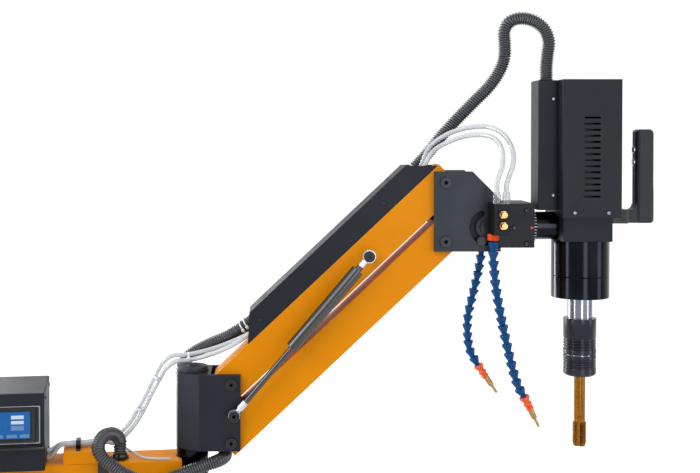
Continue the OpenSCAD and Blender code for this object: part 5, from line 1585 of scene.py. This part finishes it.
@dataclass
class TiltUnit(Assembly):
    """The tilting block with its valve block, fittings, screws and red mark."""

    coats: Coats = (("tilt_block", BLACK, 0.001), ("tilt_pin", BLACK_OXIDE, 0.0009),
                    ("tilt_lock_bolt", BLACK_OXIDE, 0.0009), ("valve_block", VALVE_BLOCK_COAT, 0.0008),
                    ("rear_outlet", REAR_OUTLET_COAT, 0.0008), ("tube_fittings", CLEAR_FITTING),
                    ("valve_knob_top", BRASS), ("valve_knob_bottom", BRASS))
    faces: tuple[tuple[float, float], ...] = ((1.22, -1.0), (101.82, 1.0))
    lock_bolt: tuple[float, float] = (889.79, 834.85)
    lock_head_r: float = 0.008
    screw: Point = (0.0036, 0.0016, 0.0018)
    well: Point = (0.0034, 0.0047, 0.0004)
    screw_places: tuple[tuple[float, float], ...] = ((966.0, 886.5), (966.0, 830.0), (945.0, 857.5))
    mark_tip: tuple[float, float] = (0.9785, 0.8575)
    mark_size: Point = (0.006, 0.0004, 0.0028)

    def dress(self) -> None:
        """The painted highlight on the lock bolt's rims, the socket screws on rings of painted shade that stand
        for their wells, and the red mark.
        """
        x, z = self.lock_bolt
        bolt_rims("lock_bolt", "tilt_unit", [((x, y, z), way) for y, way in self.faces], self.lock_head_r,
                  0.0)
        spots = [on_side(x, y, z, way) for y, way in self.faces for x, z in self.screw_places]
        set_out("plate_screws", screw_mesh("plate_screw", *self.screw, False), spots, BLACK_OXIDE,
                "tilt_unit")
        # Painted shade: a dark ring round each screw stands for its counterbore.
        set_out("plate_wells", washer("plate_well", *self.well), spots, PAINTED_SHADE, "tilt_unit")
        (x, z), (deep, thick, half) = self.mark_tip, self.mark_size
        y = self.faces[0][0] * MM
        verts = [(x - deep, y, z + half), (x - deep, y, z - half), (x, y, z)]
        work = bmesh.new()
        corners = [work.verts.new(v) for v in verts + [(v[0], y - thick, v[2]) for v in verts]]
        for face in ((0, 1, 2), (5, 4, 3), (0, 3, 4, 1), (1, 4, 5, 2), (2, 5, 3, 0)):
            work.faces.new([corners[i] for i in face])
        bmesh.ops.recalc_face_normals(work, faces=work.faces)
        shown("roll_mark", mesh_from("roll_mark", work), MARK_RED, "tilt_unit")


@dataclass
class RollScale(Assembly):
    """The roll shaft and the ring with its white divisions, every third one long."""

    coats: Coats = (("roll_shaft", BLACK_SHAFT, 0.0008), ("scale_ring", BLACK_ANODISED, 0.0005))
    centre: Point = (979.65, 51.518, 857.509)
    ring_r: float = 31.0
    divisions: int = 36
    short: tuple[float, Point] = (6.6, (0.0036, 0.0014, 0.0003))
    long: tuple[float, Point] = (5.8, (0.0052, 0.0018, 0.0003))

    def dress(self) -> None:
        """The short and the long divisions."""
        for name, wide, (middle, size) in (("short_division", False, self.short),
                                           ("long_division", True, self.long)):
            spots = []
            for k in range(self.divisions):
                if (k % 3 == 0) is wide:
                    turn = math.tau * k / self.divisions
                    out = (0.0, math.cos(turn), math.sin(turn))
                    at = (self.centre[0] + middle, *(self.centre[i] + self.ring_r * out[i] for i in (1, 2)))
                    spots.append(Spot(tuple(c * MM for c in at), out))
            set_out(name + "s", box_mesh(name, size, low_at=-size[2] / 2), spots, MARK_WHITE, "head")


@dataclass
class Head(Assembly):
    """The motor housing, the cable channel, the gear mount and the gearbox."""

    coats: Coats = (("gear_mount", BLACK_PLATE, 0.0014), ("motor_cover", BLACK, 0.0013, 50.0),
                    ("servo_motor", BLACK_OXIDE), ("cable_channel", BLACK, 0.0014),
                    ("gearbox", BLACK_TURNED, 0.0008))
    screw: Point = (0.0036, 0.0022, 0.0016)
    screw_places: tuple[tuple[float, ...], ...] = (
        (1043.0, -16.48, 883.5, -1.0), (1100.0, -16.48, 883.5, -1.0), (1043.0, 106.52, 883.5, 1.0),
        (1100.0, 106.52, 883.5, 1.0), (1015.5, 18.52, 911.5, -1.0), (1015.5, 18.52, 1076.0, -1.0))

    def dress(self) -> None:
        """The screws of the housing and the channel."""
        spots = [on_side(*place) for place in self.screw_places]
        set_out("housing_screws", screw_mesh("housing_screw", *self.screw, True), spots, SCREW_STEEL,
                "head")


@dataclass
class Handle(Assembly):
    """The handle, its clamp and its two push buttons."""

    coats: Coats = (("handle_clamp", BLACK_ANODISED, 0.0012), ("handle", BLACK_GRIP, 0.003, 38.0, 3),
                    ("start_button", SILVER_TRIM), ("reverse_button", BLACK_OXIDE))
    ring: Point = (0.0043, 0.0068, 0.0016)
    ring_places: tuple[Point, ...] = ((1.15285, 0.01952, 0.9686), (1.15285, 0.01952, 0.9896))
    grub: Point = (0.003, 0.0008, 0.0016)
    grub_places: tuple[Point, ...] = ((1.132, 0.00452, 0.8815), (1.132, 0.00452, 0.8715))

    def dress(self) -> None:
        """The buttons' rings and the clamp's grub screws."""
        rings = [Spot(at, (-1.0, 0.0, 0.0), UP) for at in self.ring_places]
        set_out("button_rings", washer("button_ring", *self.ring), rings, SILVER_TRIM, "head")
        grubs = [Spot(at, (0.0, -1.0, 0.0)) for at in self.grub_places]
        set_out("clamp_grubs", screw_mesh("clamp_grub", *self.grub, False), grubs, BLACK_OXIDE, "head")


@dataclass
class Tap:
    """A machine tap with a cut thread and straight flutes."""

    axis: tuple[float, float] = (1070.35, 51.518)
    tip: float = 474.11
    top: float = 633.11
    thread_r: float = 12.9
    thread_len: float = 41.0
    thread_pitch: float = 3.3
    thread_depth: float = 1.9
    flute_turn: float = 0.38
    shank_r: float = 9.6
    flute_r: float = 4.4
    flute_out: float = 12.4
    flute_past_thread: float = 10.0
    flute_rise: float = 0.35
    web_r: float = 4.5
    lead: float = 8.0
    lead_drop: float = 2.6
    neck_len: float = 3.0
    neck_more: float = 0.35
    sides: int = 112

    def radius(self, turn: float, up: float) -> float:
        """The tap's radius in a direction and at a height over its tip.

        Args:
            turn: The direction in radians.
            up: The height in millimetres.

        Returns:
            The radius in millimetres.
        """
        wave = abs(((up / self.thread_pitch - turn / math.tau) % 1.0) * 2 - 1)
        body = self.thread_r - self.thread_depth * (1 - wave)
        if up < self.lead:
            body = min(body, self.thread_r - self.lead_drop * (1 - up / self.lead))
        if up > self.thread_len:
            body = self.shank_r + self.neck_more
        off = (turn + self.flute_turn + math.pi / 4) % (math.pi / 2) - math.pi / 4
        run_out = max(0.0, up - self.thread_len - self.flute_past_thread)
        centre = self.flute_out + run_out * self.flute_rise
        reach = self.flute_r ** 2 - (centre * math.sin(off)) ** 2
        if reach > 0:
            body = min(body, max(self.web_r, centre * math.cos(off) - math.sqrt(reach)))
        return min(body, self.shank_r) if up > self.thread_len + self.neck_len else body

    def build(self) -> None:
        """Cuts the tap and sets it in place of the plain one."""
        cut = np.arange(0.0, self.thread_len + 0.01, 0.25).tolist()
        shank = np.arange(self.thread_len + 1.0, self.thread_len + 40.0, 2.0).tolist()
        heights = cut + shank + [self.top - self.tip]
        n, (x, y) = self.sides, self.axis
        verts: list[Point] = []
        for up in heights:
            for turn in (math.tau * k / n for k in range(n)):
                r = self.radius(turn, up)
                verts.append(((x + r * math.cos(turn)) * MM, (y + r * math.sin(turn)) * MM,
                              (self.tip + up) * MM))
        faces: list[list[int]] = [[j * n + k, j * n + (k + 1) % n, (j + 1) * n + (k + 1) % n, (j + 1) * n + k]
                                  for j in range(len(heights) - 1) for k in range(n)]
        faces.append(list(range(n))[::-1])
        faces.append([(len(heights) - 1) * n + k for k in range(n)])
        tap = shown("cut_tap", mesh_of("cut_tap", verts, faces), GOLD_COAT, "spindle", 30.0)
        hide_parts("tap")


@dataclass
class Spindle(Assembly):
    """The spindle, the quick-change chuck, the adapter and the tap."""

    coats: Coats = (("spindle", STEEL), ("chuck_sleeve", BLACK_SLEEVE, 0.0004, 50.0),
                    ("adapter_ring", BLACK_SLEEVE, 0.0004, 50.0), ("tap_adapter", BLACK_TURNED))

    def dress(self) -> None:
        """The cut tap."""
        Tap().build()


# The studio


@dataclass
class Studio:
    """The camera, the lamps, the pale floor and the white surroundings."""

    eye: Point = (0.5245, -1.9517, 1.0137)
    pitch_deg: float = 89.032
    yaw_deg: float = -0.4525
    lens: float = 59.4955
    shift: tuple[float, float] = (0.107, -0.1164)
    sky: float = 0.5
    floor_reach: float = 30.0
    floor_glow: float = 0.66
    middle: Point = (0.6, 0.05, 0.8)
    head: Point = (1.07, 0.05, 0.9)

    def camera(self) -> None:
        """Sets the camera up at the photograph's angle."""
        data = bpy.data.cameras.new("camera")
        data.lens, data.sensor_width = self.lens, 36.0
        data.shift_x, data.shift_y = self.shift
        data.clip_start, data.clip_end = 0.05, 200.0
        eye = new_object("camera", data)
        eye.location = self.eye
        eye.rotation_euler = (math.radians(self.pitch_deg), 0.0, math.radians(self.yaw_deg))
        bpy.context.scene.camera = eye

    def seen_straight(self, tree: Nodes) -> bpy.types.NodeSocket:
        """1 for camera, glossy and transmission rays, else 0.

        Args:
            tree: The tree that asks.

        Returns:
            The answer's socket.
        """
        path = tree.node("ShaderNodeLightPath")
        total = path.outputs["Is Camera Ray"]
        for name in ("Is Glossy Ray", "Is Transmission Ray"):
            total = tree.node("ShaderNodeMath", {"operation": "MAXIMUM"},
                              {0: total, 1: path.outputs[name]}).outputs[0]
        return total

    def surroundings(self) -> None:
        """White to the camera and in gloss, and a soft sky for everything else."""
        world = bpy.data.worlds.new("studio")
        bpy.context.scene.world = world
        world.use_nodes = True
        tree = Nodes(world.node_tree)
        sky, white = (tree.node("ShaderNodeBackground", {}, {0: WHITE, 1: power}).outputs[0]
                      for power in (self.sky, 1.0))
        mixed = tree.node("ShaderNodeMixShader", {}, {0: self.seen_straight(tree), 1: sky, 2: white})
        tree.node("ShaderNodeOutputWorld", {}, {0: mixed.outputs[0]})

    def floor(self) -> None:
        """A pale floor that turns white to the camera and keeps the shadow."""
        far = self.floor_reach
        corners = [(-far, -far, 0), (far, -far, 0), (far, far, 0), (-far, far, 0)]
        mesh = mesh_of("floor", corners, [(0, 1, 2, 3)])
        floor = new_object("floor", mesh)
        material = bpy.data.materials.new("pale_floor")
        material.use_nodes = True
        tree = Nodes(material.node_tree)
        diffuse = tree.node("ShaderNodeBsdfDiffuse", {}, {0: (0.8, 0.8, 0.8, 1.0)})
        power = tree.node("ShaderNodeMath", {"operation": "MULTIPLY"},
                          {0: self.seen_straight(tree), 1: self.floor_glow})
        glow = tree.node("ShaderNodeEmission", {}, {1: power.outputs[0]})
        both = tree.node("ShaderNodeAddShader", {}, {0: diffuse.outputs[0], 1: glow.outputs[0]})
        tree.node("ShaderNodeOutputMaterial", {}, {0: both.outputs[0]})
        mesh.materials.append(material)

    def lamp(self, name: str, at: Point, to: Point, width: float, height: float, watts: float,
             gloss_only: bool = False) -> None:
        """Adds a soft lamp.

        Args:
            name: The lamp's name.
            at: Where it stands.
            to: Where it looks.
            width: Its width.
            height: Its height.
            watts: Its power.
            gloss_only: Whether it shows in gloss alone and lights nothing.
        """
        data = bpy.data.lights.new(name, "AREA")
        data.shape, data.size, data.size_y, data.energy = "RECTANGLE", width, height, watts
        lamp = new_object(name, data)
        lamp.location = at
        lamp.rotation_euler = (Vector(to) - Vector(at)).to_track_quat("-Z", "Y").to_euler()
        lamp.visible_diffuse = not gloss_only

    def build(self) -> None:
        """Sets the whole studio up."""
        bpy.context.scene.view_settings.view_transform = "Standard"
        self.camera()
        self.surroundings()
        self.floor()
        self.lamp("key", (-1.2, -2.2, 2.6), self.middle, 2.2, 2.2, 43.0)
        self.lamp("fill", (2.6, -1.8, 1.4), self.middle, 2.0, 2.0, 15.0)
        self.lamp("top", (0.6, 0.8, 3.0), self.middle, 2.4, 2.4, 24.0)
        self.lamp("side", (-2.4, 0.3, 1.2), (0.9, 0.05, 1.0), 1.2, 1.2, 52.0)
        self.lamp("left_strip", (-0.75, -0.78, 0.9), self.head, 0.30, 1.4, 15.0, True)
        self.lamp("right_strip", (1.30, -2.10, 0.9), self.head, 0.50, 1.4, 18.0, True)
        self.lamp("far_strip", (2.88, -0.81, 0.9), self.head, 0.50, 1.4, 14.0, True)
        self.lamp("rear_strip", (-0.7, 1.5, 0.9), self.head, 0.60, 1.4, 44.0, True)


def main() -> None:
    """Builds the studio, the cords and every sub-assembly in order."""
    logging.basicConfig(level=logging.INFO, format="%(message)s")
    Studio().build()
    Lines().build()
    CoolantHose("front_hose", "front_hose", FRONT_HOSE, "front_nozzle").build()
    CoolantHose("rear_hose", "rear_hose", REAR_HOSE, "rear_nozzle").build()
    for part in (Base(), FirstArm(), ControlBox(), Knuckle(), Links(), HeadBracket(), TiltUnit(), RollScale(),
                 Head(), Handle(), Spindle()):
        log.info("building %s", type(part).__name__)
        part.build()


if __name__ == "__main__":
    main()
